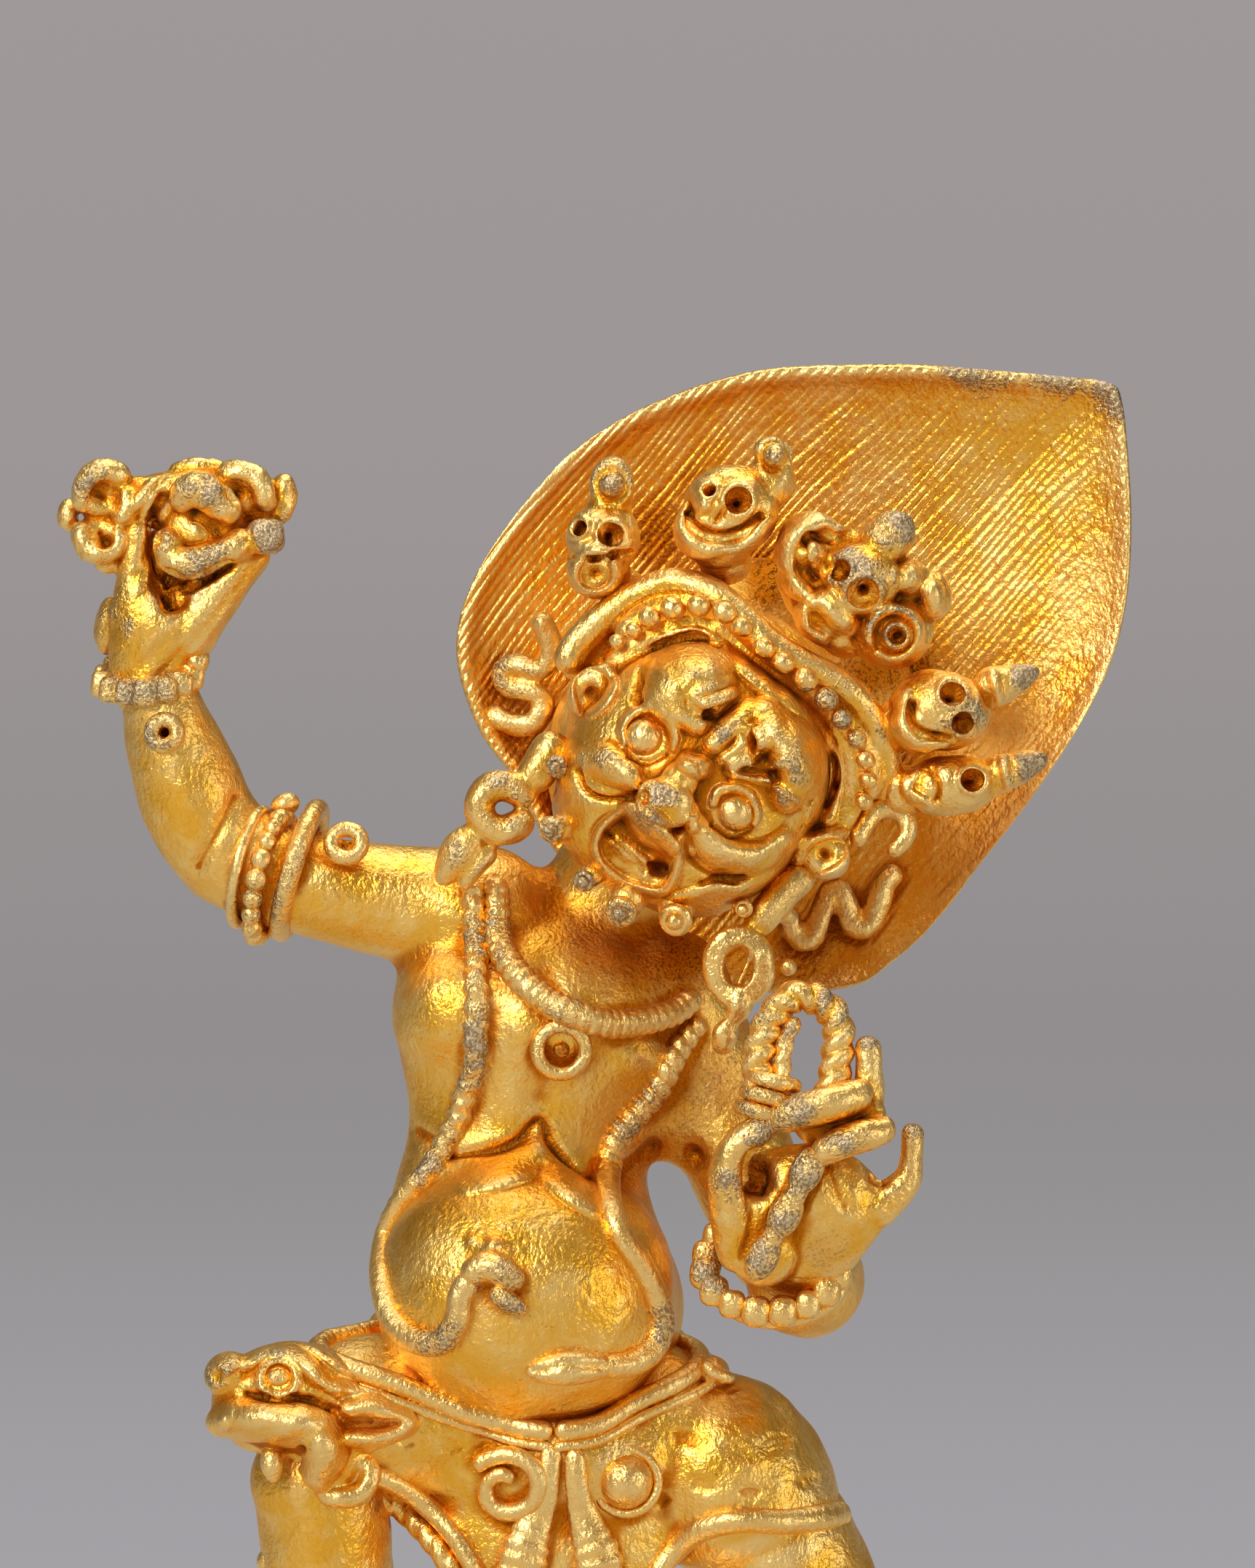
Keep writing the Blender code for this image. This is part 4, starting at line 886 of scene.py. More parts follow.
features = [
    # forehead dome
    [(-4.3, 4.4, 2.0, 2.34), (-3.6, 5.5, 2.3, 2.49), (-2.8, 5.1, 2.0, 2.19)],
    # left brow
    [(-4.7, 2.6, 1.2, 1.12), (-3.2, 2.8, 1.3, 1.22), (-1.7, 3.0, 1.0, 0.92)],
    # between the brows
    [(0.0, 2.6, 0.95, 0.76), (0.2, 4.0, 1.05, 0.87), (0.6, 5.6, 0.8, 0.87)],
    # folds between the brows, beside the nose and at the right temple
    [(1.0, 4.4, 0.9, 0.71), (1.5, 3.5, 0.9, 0.71), (1.2, 2.3, 0.7, 0.61)],
    [(2.0, -3.2, 0.9, 0.71), (2.7, -3.6, 0.6, 0.56)],
    [(5.6, 6.7, 0.8, 0.66), (6.7, 5.6, 0.8, 0.66), (7.4, 4.2, 0.7, 0.66), (7.7, 2.7, 0.5, 0.61)],
    # root of the nose
    [(-0.6, 0.7, 1.2, 0.76), (0.1, 0.9, 1.2, 0.87)],
    # right brow
    [(1.4, 6.1, 1.2, 1.17), (2.8, 5.6, 1.8, 1.58), (4.2, 5.4, 2.3, 2.04), (5.4, 4.4, 2.2, 1.93),
     (5.6, 2.8, 1.3, 1.07)],
    # left eye's lid
    [(-4.4, -0.7, 0.55, 0.31), (-5.1, 0.0, 0.65, 0.36), (-5.1, 1.1, 0.75, 0.41), (-4.4, 2.0, 0.8, 0.46),
     (-3.2, 2.1, 0.8, 0.46), (-2.2, 1.5, 0.7, 0.41), (-1.8, 0.8, 0.5, 0.31)],
    # right eye's lid
    [(2.2, -0.4, 0.55, 0.31), (2.0, 0.4, 0.65, 0.36), (2.7, 1.2, 0.7, 0.36), (3.7, 1.4, 0.7, 0.36),
     (4.7, 0.8, 0.6, 0.33), (5.1, 0.0, 0.45, 0.28)],
    # left cheek
    [(-5.7, -3.1, 0.8, 0.92), (-4.7, -2.4, 1.15, 1.27), (-3.3, -2.2, 1.1, 1.07), (-2.3, -2.3, 0.8, 0.71)],
    # right cheek
    [(2.1, -2.0, 0.9, 0.76), (3.3, -2.4, 1.2, 1.07), (5.1, -2.3, 1.3, 1.17), (6.7, -1.2, 1.1, 1.02),
     (7.2, 0.4, 0.8, 0.81)],
    # upper lip
    [(-1.8, -3.7, 1.4, 0.61), (-0.6, -3.6, 2.0, 0.81), (0.7, -3.7, 2.0, 0.81), (2.0, -4.0, 1.4, 0.61)],
    # lower lip
    [(-2.0, -4.2, 0.8, 0.31), (-2.3, -5.7, 0.8, 0.36), (-2.0, -6.9, 0.8, 0.36), (-1.0, -7.6, 0.8, 0.36),
     (0.5, -7.7, 0.8, 0.38), (2.0, -7.3, 0.75, 0.41), (3.1, -6.5, 0.7, 0.38), (3.0, -5.3, 0.7, 0.33),
     (2.5, -4.2, 0.8, 0.33)],
    # tongue
    [(-1.1, -5.9, 0.35, 0.51), (0.0, -5.9, 0.45, 0.56), (1.1, -5.8, 0.35, 0.46)],
    # jaw
    [(4.2, -6.6, 0.5, 0.66), (5.6, -4.6, 0.6, 0.66), (7.0, -3.5, 0.6, 0.66), (7.9, -1.9, 0.5, 0.66)],
    # roll at the hair line
    [(-6.5, 5.7, 0.35, 0.41), (-4.9, 7.4, 0.6, 0.51), (-2.3, 7.5, 0.7, 0.61), (0.6, 7.4, 0.7, 0.66),
     (3.4, 7.5, 0.7, 0.66), (5.5, 6.8, 0.7, 0.66), (7.3, 5.4, 0.6, 0.61), (8.4, 3.2, 0.5, 0.56)],
    # left ear's rim
    [(-7.7, -1.3, 0.6, 0.38), (-9.1, -0.1, 0.7, 0.38), (-9.7, 1.0, 0.7, 0.41), (-9.2, 1.9, 0.7, 0.41),
     (-8.2, 2.3, 0.7, 0.41), (-7.2, 1.8, 0.7, 0.38), (-6.9, 0.6, 0.6, 0.38), (-7.2, -0.6, 0.5, 0.36)],
    # right ear's rim
    [(8.6, -0.1, 0.6, 0.38), (8.3, 1.2, 0.7, 0.41), (9.1, 2.5, 0.7, 0.41), (10.2, 3.0, 0.7, 0.41),
     (11.0, 2.3, 0.7, 0.38), (10.9, 1.0, 0.6, 0.38), (10.1, -0.3, 0.5, 0.36)],
]
face_strokes = [
    ([(-5.8, -3.9), (-4.5, -4.5), (-3.1, -4.1), (-1.9, -2.9)], 0.2, 0.5),
    ([(-1.3, 3.8)], 0.24, 1.2),
    ([(1.9, -5.7)], 0.42, 1.2),
    ([(2.0, -3.0), (3.1, -4.0), (4.6, -4.1), (6.3, -3.4)], 0.24, 0.25),
    ([(1.3, 4.9), (2.0, 4.8), (2.5, 4.4), (2.5, 3.8), (2.2, 3.1)], 0.22, -0.5),
    ([(2.2, 3.1), (1.8, 2.5), (1.8, 2.0), (2.4, 1.9), (3.9, 2.7)], 0.22, -0.5),
    ([(3.9, 2.7), (5.4, 2.8), (7.0, 3.0)], 0.2, -0.3),
    ([(2.1, 5.0), (2.9, 4.7), (3.0, 4.0), (2.7, 2.9), (3.8, 3.2), (5.4, 3.3)], 0.16, 0.1),
    ([(1.0, 4.3), (1.8, 3.9), (1.5, 2.8), (1.3, 1.8), (2.2, 1.3)], 0.2, 0.15),
    ([(-1.9, 4.2), (-1.4, 4.9), (-0.9, 5.7)], 0.28, -0.35),
    ([(-2.3, 4.5), (-1.7, 5.4), (-1.2, 6.2)], 0.13, 0.2),
    ([(-5.4, 1.8), (-6.0, 2.8), (-6.4, 4.3), (-6.2, 5.8), (-4.9, 7.3), (-3.5, 7.7)], 0.26, 0.6),
    ([(-3.7, -1.2), (-2.6, -0.9), (-2.0, 0.2)], 0.16, 0.25),
    ([(3.0, -1.4), (4.3, -1.3), (5.1, -0.2)], 0.16, 0.25),
    ([(-1.0, -3.6), (-1.4, -2.5), (-2.0, -2.2)], 0.17, 0.3),
    ([(-1.9, -5.8), (-0.3, -5.9), (1.4, -6.3)], 0.14, 0.25),
    ([(4.6, -4.8), (5.5, -3.7), (6.5, -2.9)], 0.14, 0.25),
]

head_skin = chased(fused(head_base, HEAD_GRAIN, 6), head_strokes(face_hollows))
head_skin = risen(head_skin, head_forms(features))
head_skin = uneven(chased(head_skin, head_strokes(face_strokes)), 0.03, 0.8)
face = touching(head_skin)
eyes = []
for across, up, size in ((-3.6, 0.3, 1.27), (3.6, 0.0, 1.24)):
    x, z = seen(across, up)
    eyes.append(ball((x, depth_at(face, x, z) + 0.3, z), (size, size, size)))
# Painted shade, with some grime, in the open mouth, under the lower lip and by the left ear.
put("head", joined([head_skin, *eyes]),
    worn=[(*seen(-0.6, -2.1), 0.9, 1.0), (*seen(-3.3, 5.4), 2.0, 0.3), (*seen(4.6, 3.2), 2.4, 0.3),
          (*seen(-0.2, -3.7), 1.4, 0.4), (*seen(-5.0, -2.3), 1.6, 0.3), (*seen(0.0, 3.4), 1.0, 0.35)],
    soiled=[(*seen(-1.2, -6.2), 0.9, 0.8), (*seen(2.0, -7.5), 1.6, 0.5), (*seen(-7.4, -0.6), 1.4, 0.4)])


# Diadem and beard
# A rolled band over a string of beads at the hair line, and bead-tipped pegs standing out from the
# jaw for a beard.
DIADEM_GRAIN = 0.16
bead_places = [(-8.6, 4.0, 0.5), (-8.2, 5.2, 0.55), (-7.9, 6.4, 0.74), (-7.1, 7.7, 0.8),
               (-5.9, 8.8, 0.76), (-4.4, 9.5, 0.8), (-3.0, 9.4, 0.7), (-1.1, 9.2, 0.76), (0.4, 9.2, 0.8),
               (2.1, 9.2, 0.84), (3.9, 9.0, 0.8), (5.4, 8.6, 0.7), (6.9, 8.2, 0.66), (8.1, 7.5, 0.64),
               (9.0, 6.6, 0.62), (9.6, 5.4, 0.6)]
roll_places = [(-10.1, 0.4), (-10.5, 2.4), (-10.1, 4.9), (-9.4, 7.0), (-8.0, 9.0), (-6.0, 9.9),
               (-3.8, 9.9), (-1.1, 9.6), (1.3, 9.8), (3.6, 10.2), (5.9, 10.0), (8.0, 9.1), (9.6, 7.8),
               (10.8, 6.1)]
diadem_base = [
    head_limb([(a, b, -6.9 + 0.026 * a * a, 1.02) for a, b in roll_places], sides=32),
    head_limb([(a, b, -6.3 + 0.016 * a * a, 1.1) for a, b, _ in bead_places], sides=24),
    head_limb([(a * 0.92, b * 0.92, -4.9 + 0.02 * a * a, 1.4) for a, b in roll_places], sides=24),
]
diadem = [fused(diadem_base, DIADEM_GRAIN, 5)]
for across, up, size in bead_places:
    diadem.append(head_ball(across, up, -7.85 + 0.016 * across * across, (size, size * 0.95, size * 0.92)))
beard_curls = [(-4.4, 74.7, -7.6, 0.75), (-4.7, 70.8, -8.4, 0.88), (-2.7, 67.6, -8.6, 0.72),
               (-0.4, 65.7, -9.0, 1.05), (3.0, 65.2, -8.8, 1.1), (7.2, 65.9, -7.4, 0.62)]
for x, z, depth, size in beard_curls:
    away = np.array([3.4 - x, 72.4 - z])
    root = np.array([x, z]) + away * (2.2 / np.hypot(*away))
    diadem += [limb([(root[0], depth + 2.6, root[1], size * 1.3), (x, depth + 0.6, z, size * 0.95)]),
               hoop((x, depth + 0.1, z), (size * 0.62, size * 0.62), size * 0.36, (-0.3, -1, -0.3),
                    sides=14, steps=32),
               ball((x - 0.1, depth - 0.35, z - 0.1), (size * 0.52,) * 3, sides=20)]
put("diadem_and_beard", joined(diadem),
    worn=[(-4.4, 74.7, 0.8, 0.6), (-0.4, 65.7, 0.8, 0.7), (-4.7, 70.8, 0.9, 0.4), (-2.7, 67.6, 0.7, 0.8),
          (*seen(3.7, 9.0), 1.6, 0.4), (*seen(5.7, 8.8), 1.6, 0.45), (*seen(7.7, 10.7), 2.0, 0.3)])


# Skull crown
# Five small skulls on the diadem, each with a pointed jewel, the middle one on a bed of scrolls;
# cast with the head and rubbed grey on the points.
SKULL_GRAIN = 0.11


def arc(centre, reach, first, last, *rest):
    """Rows of x and z, and then the rest, along an arc from the first to the last angle in degrees."""
    turns = np.radians(np.linspace(first, last, 2 + int(abs(last - first) / 25)))
    return [(centre[0] + reach * math.cos(t), centre[1] + reach * math.sin(t), *rest) for t in turns]


crown = [
    # first skull and its pebble jewel
    ball((-1.5, -3.6, 89.0), (2.35, 2.1, 2.1)),
    ball((-1.9, -3.6, 87.0), (2.0, 1.9, 1.9)),
    limb([(-1.2, -3.3, 90.0, 1.4), (-1.0, -3.5, 92.0, 1.3)]),
    ball((-0.95, -3.7, 92.2), (1.45, 1.2, 1.85)),
    limb([(-1.2, -2.4, 87.0, 1.6), (0.8, -2.4, 84.0, 1.5)]),
    # second skull and its teardrop
    ball((6.4, -5.0, 90.6), (3.0, 2.4, 2.9)),
    ball((5.4, -5.0, 89.4), (2.6, 2.3, 2.2)),
    ball((8.9, -4.6, 92.4), (1.6, 1.5, 1.7)),
    limb([(8.4, -4.8, 93.2, 1.5), (9.2, -4.8, 94.0, 1.45), (10.2, -4.8, 94.6, 0.6)]),
    limb([(6.0, -4.2, 88.4, 1.8), (6.2, -4.6, 86.0, 1.5)]),
    # middle skull on its bed of scrolls
    ball((12.6, -5.0, 86.4), (3.3, 1.8, 3.4)),
    ball((11.4, -5.2, 88.0), (2.3, 1.6, 2.6)),
    ball((14.6, -6.6, 86.3), (2.4, 2.2, 2.3)),
    limb([(15.0, -6.5, 87.6, 1.7), (16.3, -6.4, 89.0, 1.5), (17.6, -6.4, 90.2, 1.1)]),
    ball((17.2, -5.6, 86.2), (1.7, 1.4, 1.5)),
    ball((18.9, -5.4, 85.3), (1.3, 1.2, 1.6)),
    ball((16.4, -5.4, 83.2), (2.7, 2.0, 2.5)),
    ball((12.6, -5.6, 84.2), (2.3, 1.8, 2.1)),
    limb([(13.4, -4.8, 83.6, 2.0), (12.2, -5.0, 82.0, 1.8)]),
    # fourth skull
    ball((19.4, -5.2, 78.2), (3.2, 2.5, 2.5), 0.2),
    ball((18.2, -5.2, 77.4), (2.0, 2.3, 2.0)),
    limb([(21.6, -5.0, 79.2, 1.4), (23.2, -5.0, 79.8, 1.3), (24.6, -5.0, 80.3, 0.8),
          (25.6, -4.9, 80.8, 0.4)]),
    limb([(17.6, -4.6, 77.6, 1.8), (15.6, -4.8, 76.8, 1.5)]),
    # fifth skull
    ball((20.0, -4.4, 73.5), (3.1, 2.0, 1.9), -0.1),
    limb([(22.0, -4.4, 73.8, 1.3), (24.0, -4.3, 74.5, 1.15), (25.2, -4.2, 75.0, 0.8),
          (26.2, -4.2, 75.3, 0.4)]),
    limb([(18.4, -4.0, 73.4, 1.7), (15.6, -3.8, 73.0, 1.6)]),
]
crown_forms = [
    # first skull: brows, jaw ring, rim of the jewel
    [(-3.6, 88.2, 0.3, 0.5), (-2.2, 88.3, 0.4, 0.5), (0.2, 88.4, 0.3, 0.5)],
    arc((-2.0, 86.7), 1.35, 30, -300, 0.7, 0.42),
    [(-0.95, 92.2, 0.7, 0.95)],
    # second skull: jaw, cheek, nose, rim of the teardrop
    [(3.2, 90.9, 0.5, 0.5), (3.1, 89.4, 0.8, 0.65), (4.2, 88.2, 0.9, 0.75), (5.8, 87.8, 0.9, 0.8),
     (7.6, 88.3, 0.8, 0.7), (8.8, 89.8, 0.4, 0.5)],
    [(4.6, 91.9, 0.5, 0.8), (4.7, 90.9, 0.7, 0.6)],
    [(9.2, 94.0, 0.6, 0.8)],
    # scroll to the left of the middle skull
    [(13.2, 89.9, 0.8, 0.8), (11.9, 90.0, 0.8, 0.75), (10.5, 89.2, 0.9, 0.75), (9.8, 87.8, 0.9, 0.75),
     (10.2, 86.2, 0.8, 0.7), (11.4, 84.9, 0.7, 0.7)],
    [(11.4, 87.8, 1.1, 1.0)],
    # lumps to its right
    [(17.3, 86.4, 0.7, 1.1)],
    [(18.9, 85.6, 0.7, 0.8), (19.1, 84.5, 0.6, 0.7)],
    # scrolls below it
    arc((16.5, 82.9), 1.6, 200, -130, 0.8, 0.42),
    arc((16.7, 82.8), 0.7, 200, -160, 0.8, 0.3),
    [(10.8, 84.4, 0.7, 0.5), (11.0, 83.2, 0.7, 0.5), (12.0, 82.5, 0.6, 0.5)],
    [(12.2, 85.0, 0.8, 0.9), (13.6, 83.6, 0.8, 0.9)],
    # fourth skull: jaw and rings of its jewel
    [(17.2, 79.2, 0.4, 0.5), (16.8, 77.4, 0.6, 0.6), (17.8, 76.0, 0.7, 0.6), (19.6, 75.8, 0.5, 0.5)],
    [(22.6, 80.6, 0.35, 0.35), (22.9, 79.6, 0.45, 0.4), (23.1, 78.6, 0.35, 0.35)],
    # fifth skull: jaw and rings of its jewel
    [(17.8, 74.6, 0.4, 0.5), (17.4, 73.2, 0.5, 0.5), (18.6, 72.2, 0.4, 0.5)],
    [(23.3, 75.4, 0.3, 0.35), (23.5, 74.3, 0.4, 0.4), (23.7, 73.3, 0.3, 0.35)],
    [(24.3, 75.6, 0.3, 0.3), (24.5, 74.7, 0.35, 0.35), (24.7, 73.9, 0.3, 0.3)],
]
sockets = [(-3.15, 89.6, 0.40), (-1.0, 89.1, 0.62), (6.9, 91.2, 0.66), (5.0, 91.9, 0.32),
           (13.0, 86.9, 0.58), (14.6, 85.3, 0.8), (20.2, 79.3, 0.62), (20.85, 77.3, 0.54),
           (21.5, 73.9, 0.58)]
for x, z, size in sockets:
    crown_forms.append(arc((x, z), size * 1.4, 0, 360, 0.35, 0.34))
crown_strokes = [([(x, z)], size * 0.85, 1.5) for x, z, size in sockets] + [
    (arc((-0.95, 92.2), 1.0, 0, 360), 0.15, 0.25),
    (arc((9.2, 94.0), 0.95, 0, 360), 0.15, 0.25),
    ([(-3.7, 87.7), (-2.0, 87.6), (0.2, 88.0)], 0.16, 0.45),
    ([(-2.0, 86.7)], 0.5, 0.6),
    ([(3.6, 91.0), (4.2, 89.8), (5.6, 89.2), (7.2, 89.5), (8.4, 90.3)], 0.2, 0.6),
    ([(5.9, 90.6), (5.5, 90.0)], 0.22, 0.35),
    ([(12.6, 88.6), (11.2, 89.0), (10.9, 87.4), (11.6, 86.4)], 0.2, 0.4),
    ([(16.7, 82.8)], 0.25, 0.4),
    ([(17.6, 78.6), (17.7, 77.4), (18.8, 76.7), (20.2, 76.4)], 0.18, 0.4),
    ([(18.9, 74.5), (19.3, 73.4), (19.2, 72.6)], 0.18, 0.35),
]
crown_skin = chased(risen(fused(crown, SKULL_GRAIN, 8), crown_forms), crown_strokes)
# Painted shade, with some grime, under the skulls and between them.
put("skull_crown", uneven(crown_skin, 0.05, 0.7),
    worn=[(14.4, 87.4, 2.0, 0.6), (17.4, 89.8, 1.3, 0.95), (24.8, 80.4, 1.3, 0.7),
          (25.2, 74.8, 1.4, 0.7), (-1.1, 92.4, 1.6, 0.35), (20.6, 78.4, 1.8, 0.35),
          (16.2, 83.4, 1.8, 0.35), (8.8, 94.0, 1.5, 0.25)],
    soiled=[(11.0, 82.6, 1.5, 0.4), (-1.6, 86.4, 1.6, 0.5), (18.0, 79.6, 1.4, 0.5), (5.4, 86.6, 1.6, 0.4)])


# Ear ornaments and hair ribbons
# A thick coil hanging at one side and an open ring with pellets at the other, and a ribbon in hooks
# behind each ear.
ORNAMENT_GRAIN = 0.13
ears = [
    limb([(x, -6.0, z, 1.0) for x, z in arc((-7.8, 72.1), 1.4, 0, 360)]),
    limb([(-6.4, -5.6, 73.2, 1.1), (-5.2, -5.4, 74.9, 1.3), (-4.2, -5.2, 76.8, 1.1)]),
    limb([(-9.0, -5.4, 70.9, 0.8), (-10.4, -5.6, 69.3, 1.35), (-11.8, -5.2, 67.4, 0.5)]),
    limb([(-8.2, -5.6, 69.7, 0.7), (-9.4, -5.8, 68.6, 0.8), (-10.2, -5.6, 67.0, 0.4)]),
    limb([(14.0, -5.0, 69.8, 0.6), (15.4, -4.2, 72.0, 0.7), (17.0, -4.0, 71.8, 0.65),
          (17.4, -4.2, 70.4, 0.6), (16.2, -4.4, 69.2, 0.55)]),
    hoop((6.9, -6.6, 62.3), (1.75, 2.1), 0.55),
    hoop((6.9, -6.9, 62.3), (1.25, 1.6), 0.34),
    limb([(7.2, -6.6, 63.8, 0.16), (7.5, -6.7, 62.6, 0.16), (6.7, -6.7, 60.8, 0.16)], step=0.1, sides=10),
    limb([(11.4, -5.0, 68.4, 1.1), (9.4, -5.6, 66.6, 1.1), (7.6, -6.2, 64.4, 0.95)]),
    limb([(6.9, -6.4, 60.9, 0.6), (6.9, -6.6, 59.8, 0.85), (6.4, -6.5, 58.9, 0.5),
          (6.0, -6.4, 58.0, 0.85), (6.0, -5.6, 56.8, 0.5)], step=0.15),
    ball((10.0, -5.4, 62.2), (0.6, 0.6, 0.6)),
    ball((9.9, -5.0, 65.4), (0.7, 0.7, 0.7)),
    limb([(-5.6, 4.2, 84.4, 0.75), (-4.8, 4.6, 82.2, 0.75), (-5.5, 5.0, 80.8, 0.75),
          (-7.0, 5.4, 81.1, 0.75), (-7.9, 5.8, 80.7, 0.75), (-7.6, 5.7, 79.8, 0.75),
          (-6.4, 5.4, 79.6, 0.75), (-5.3, 5.2, 78.9, 0.75), (-5.9, 5.2, 77.5, 0.75),
          (-7.5, 5.7, 77.4, 0.75), (-8.9, 6.0, 78.3, 0.7)]),
    limb([(9.9, 5.4, 65.9, 0.8), (10.4, 5.5, 64.3, 0.8), (11.5, 5.6, 63.8, 0.8), (12.1, 5.8, 65.5, 0.8),
          (12.9, 6.0, 67.0, 0.8), (13.7, 6.1, 66.2, 0.8), (14.0, 6.1, 64.9, 0.8), (15.0, 6.2, 64.6, 0.8),
          (15.7, 6.3, 65.9, 0.8), (16.2, 6.4, 67.5, 0.8), (17.3, 6.6, 68.1, 0.75)]),
]
ears_skin = uneven(fused(ears, ORNAMENT_GRAIN, 5), 0.06, 0.8)
# Painted shade, with some grime, in the middle of the coil, in the ring and behind the ornament at the right.
put("ears_and_ribbons", ears_skin,
    worn=[(-7.4, 72.6, 1.8, 0.3), (-8.0, 81.0, 2.5, 0.25), (-10.2, 69.2, 1.2, 0.35)],
    soiled=[(-7.8, 72.1, 0.9, 0.9), (12.0, 66.0, 3.0, 0.5), (6.9, 62.3, 1.3, 0.6)])


# Hair crest
# The hair stands up behind the head as one pointed leaf, a shallow dish combed from the head
# towards its tip while the wax was soft, with a thick rim; the combing fades on the right.
CREST_MIDDLE = np.array([9.0, 79.0])
CREST_RIM = 1.1
CREST_COLUMNS = 380
CREST_ROWS = 70
COMB_PITCH = 0.52
ROOT_GRAIN = 0.3
crest_outline = through([(-7.5, 74.4), (-9.2, 76.7), (-10.4, 79.7), (-10.8, 82.2), (-10.4, 84.7),
                         (-9.2, 87.4), (-7.2, 90.4), (-4.2, 93.9), (-0.9, 96.3), (2.4, 97.9),
                         (5.9, 99.1), (9.4, 99.8), (13.9, 100.0), (18.4, 100.0), (23.4, 99.6),
                         (27.9, 99.2), (30.4, 98.8), (31.1, 97.7), (31.5, 94.2), (31.7, 89.7),
                         (31.4, 85.2), (30.4, 81.2), (28.4, 77.2), (25.4, 72.7), (21.9, 68.2),
                         (19.4, 64.9), (16.4, 62.2), (13.9, 60.8), (8.0, 60.6), (1.0, 63.6),
                         (-4.6, 69.4), (-7.5, 74.4)], 6)[:-1]


def crest():
    """Leaf ruled along the comb strokes.

    Columns lie across the leaf and rows along it, each row running from one edge to the other. The
    front is a dish whose depth falls from the rim as the root of one less the share of the way out,
    squared; the comb adds a rounded ridge for each stroke.
    """
    axis = np.array([0.658, 0.752])
    across = np.array([0.752, -0.658])
    away = crest_outline - CREST_MIDDLE
    s, t = away @ axis, away @ across
    low, high = int(t.argmin()), int(t.argmax())
    first, last = sorted((low, high))
    ways = [np.arange(first, last + 1), np.concatenate([np.arange(last, len(t)), np.arange(0, first + 1)])]
    turn = np.linspace(0, math.pi, CREST_COLUMNS + 2)[1:-1]
    width = t.max() - t.min()
    columns = t.min() + width * (0.5 - 0.5 * np.cos(turn)) * 0.35 + width * 0.65 * turn / math.pi
    ends = []
    for way in ways:
        order = np.argsort(t[way])
        ends.append(np.interp(columns, t[way][order], s[way][order]))
    bottom, top = np.minimum(*ends), np.maximum(*ends)
    rows = 0.5 - 0.5 * np.cos(np.linspace(0, math.pi, CREST_ROWS))
    rows = 0.5 * rows + 0.5 * np.linspace(0, 1, CREST_ROWS)
    along = bottom[:, None] + (top - bottom)[:, None] * rows
    aside = columns[:, None] * np.ones(CREST_ROWS)
    flat = CREST_MIDDLE + along[..., None] * axis + aside[..., None] * across
    angle = np.arctan2(away[:, 1], away[:, 0])
    order = np.argsort(angle)
    out = flat - CREST_MIDDLE
    heading = np.arctan2(out[..., 1], out[..., 0])
    edge = np.interp(heading, angle[order], np.hypot(*away.T)[order], period=2 * math.pi)
    share = np.clip(np.hypot(out[..., 0], out[..., 1]) / edge, 0, 1)
    rim_gap = (1 - share) * edge
    dish = 4.0 + 5.0 * np.sqrt(np.clip(1.0 - 0.98 * share**2, 0, 1))
    round_off = CREST_RIM * 0.5 * (1 - np.sqrt(np.clip(1 - (1 - np.clip(rim_gap / 0.8, 0, 1)) ** 2, 0, 1)))
    left = np.clip((6.0 - aside) / 12, 0, 1)
    roll = 0.35 * np.exp(-((rim_gap - 0.75) / 0.5) ** 2) * left
    bend = 0.9 * np.sin(along * 0.11 + 1.0) + 0.35 * np.sin(along * 0.31 + aside * 0.2)
    stroke = (aside + bend * 0.6 + 0.12 * np.sin(aside * 2.1 + along * 0.23)) / COMB_PITCH
    strength = 0.6 + 0.4 * np.sin(aside * 0.9 + along * 0.17)
    strength = strength * (0.55 + 0.45 * np.sin(aside * 2.7 - along * 0.09 + 1))
    fade = np.clip(1.15 - np.clip((aside + 2.0) / 14, 0, 1) * 0.85, 0, 1)
    comb = (np.abs(np.sin(math.pi * stroke)) ** 0.7 - 0.55) * (0.10 + 0.13 * strength) * fade
    comb = comb * np.clip(rim_gap / 0.25, 0.25, 1) * np.clip((share - 0.2) / 0.2, 0, 1)
    front = dish + round_off - roll - comb
    back = dish + CREST_RIM + 1.6 * (1 - share**2) - round_off - 0.3 * comb
    meet = (front + back) / 2
    front[:, (0, -1)] = meet[:, (0, -1)]
    near, far = (np.stack([flat[..., 0], y, flat[..., 1]], -1) for y in (front, back))
    return shell(np.concatenate([near, far[:, -2:0:-1]], 1)[:, ::-1])


# Grime and painted shade on the crest behind and below the skulls and behind the right ear.
put("hair_crest", crest(),
    worn=[(30.6, 98.0, 1.6, 0.8), (27.0, 99.3, 1.6, 0.6), (22.0, 99.7, 2.0, 0.5), (4.5, 84.5, 2.0, 0.3),
          (19.5, 82.5, 1.8, 0.3)],
    soiled=[(1.8, 89.4, 2.4, 1.2), (8.6, 87.2, 1.6, 1.3), (17.8, 80.8, 2.2, 1.3), (4.0, 92.6, 1.4, 0.7),
            (12.0, 62.0, 3.0, 0.6)])
hair_root = [ball((4.0, 4.4, 75.0), (9.2, 5.2, 9.2)), ball((9.0, 5.6, 79.0), (9.0, 3.6, 9.0))]
# Grime and painted shade on the hair root where it shows between the skulls.
put("hair_root", fused(hair_root, ROOT_GRAIN, 4),
    soiled=[(2.0, 87.0, 2.6, 1.2), (9.0, 86.4, 2.2, 1.4), (15.6, 81.0, 2.6, 1.4), (16.4, 75.8, 2.0, 1.2)])


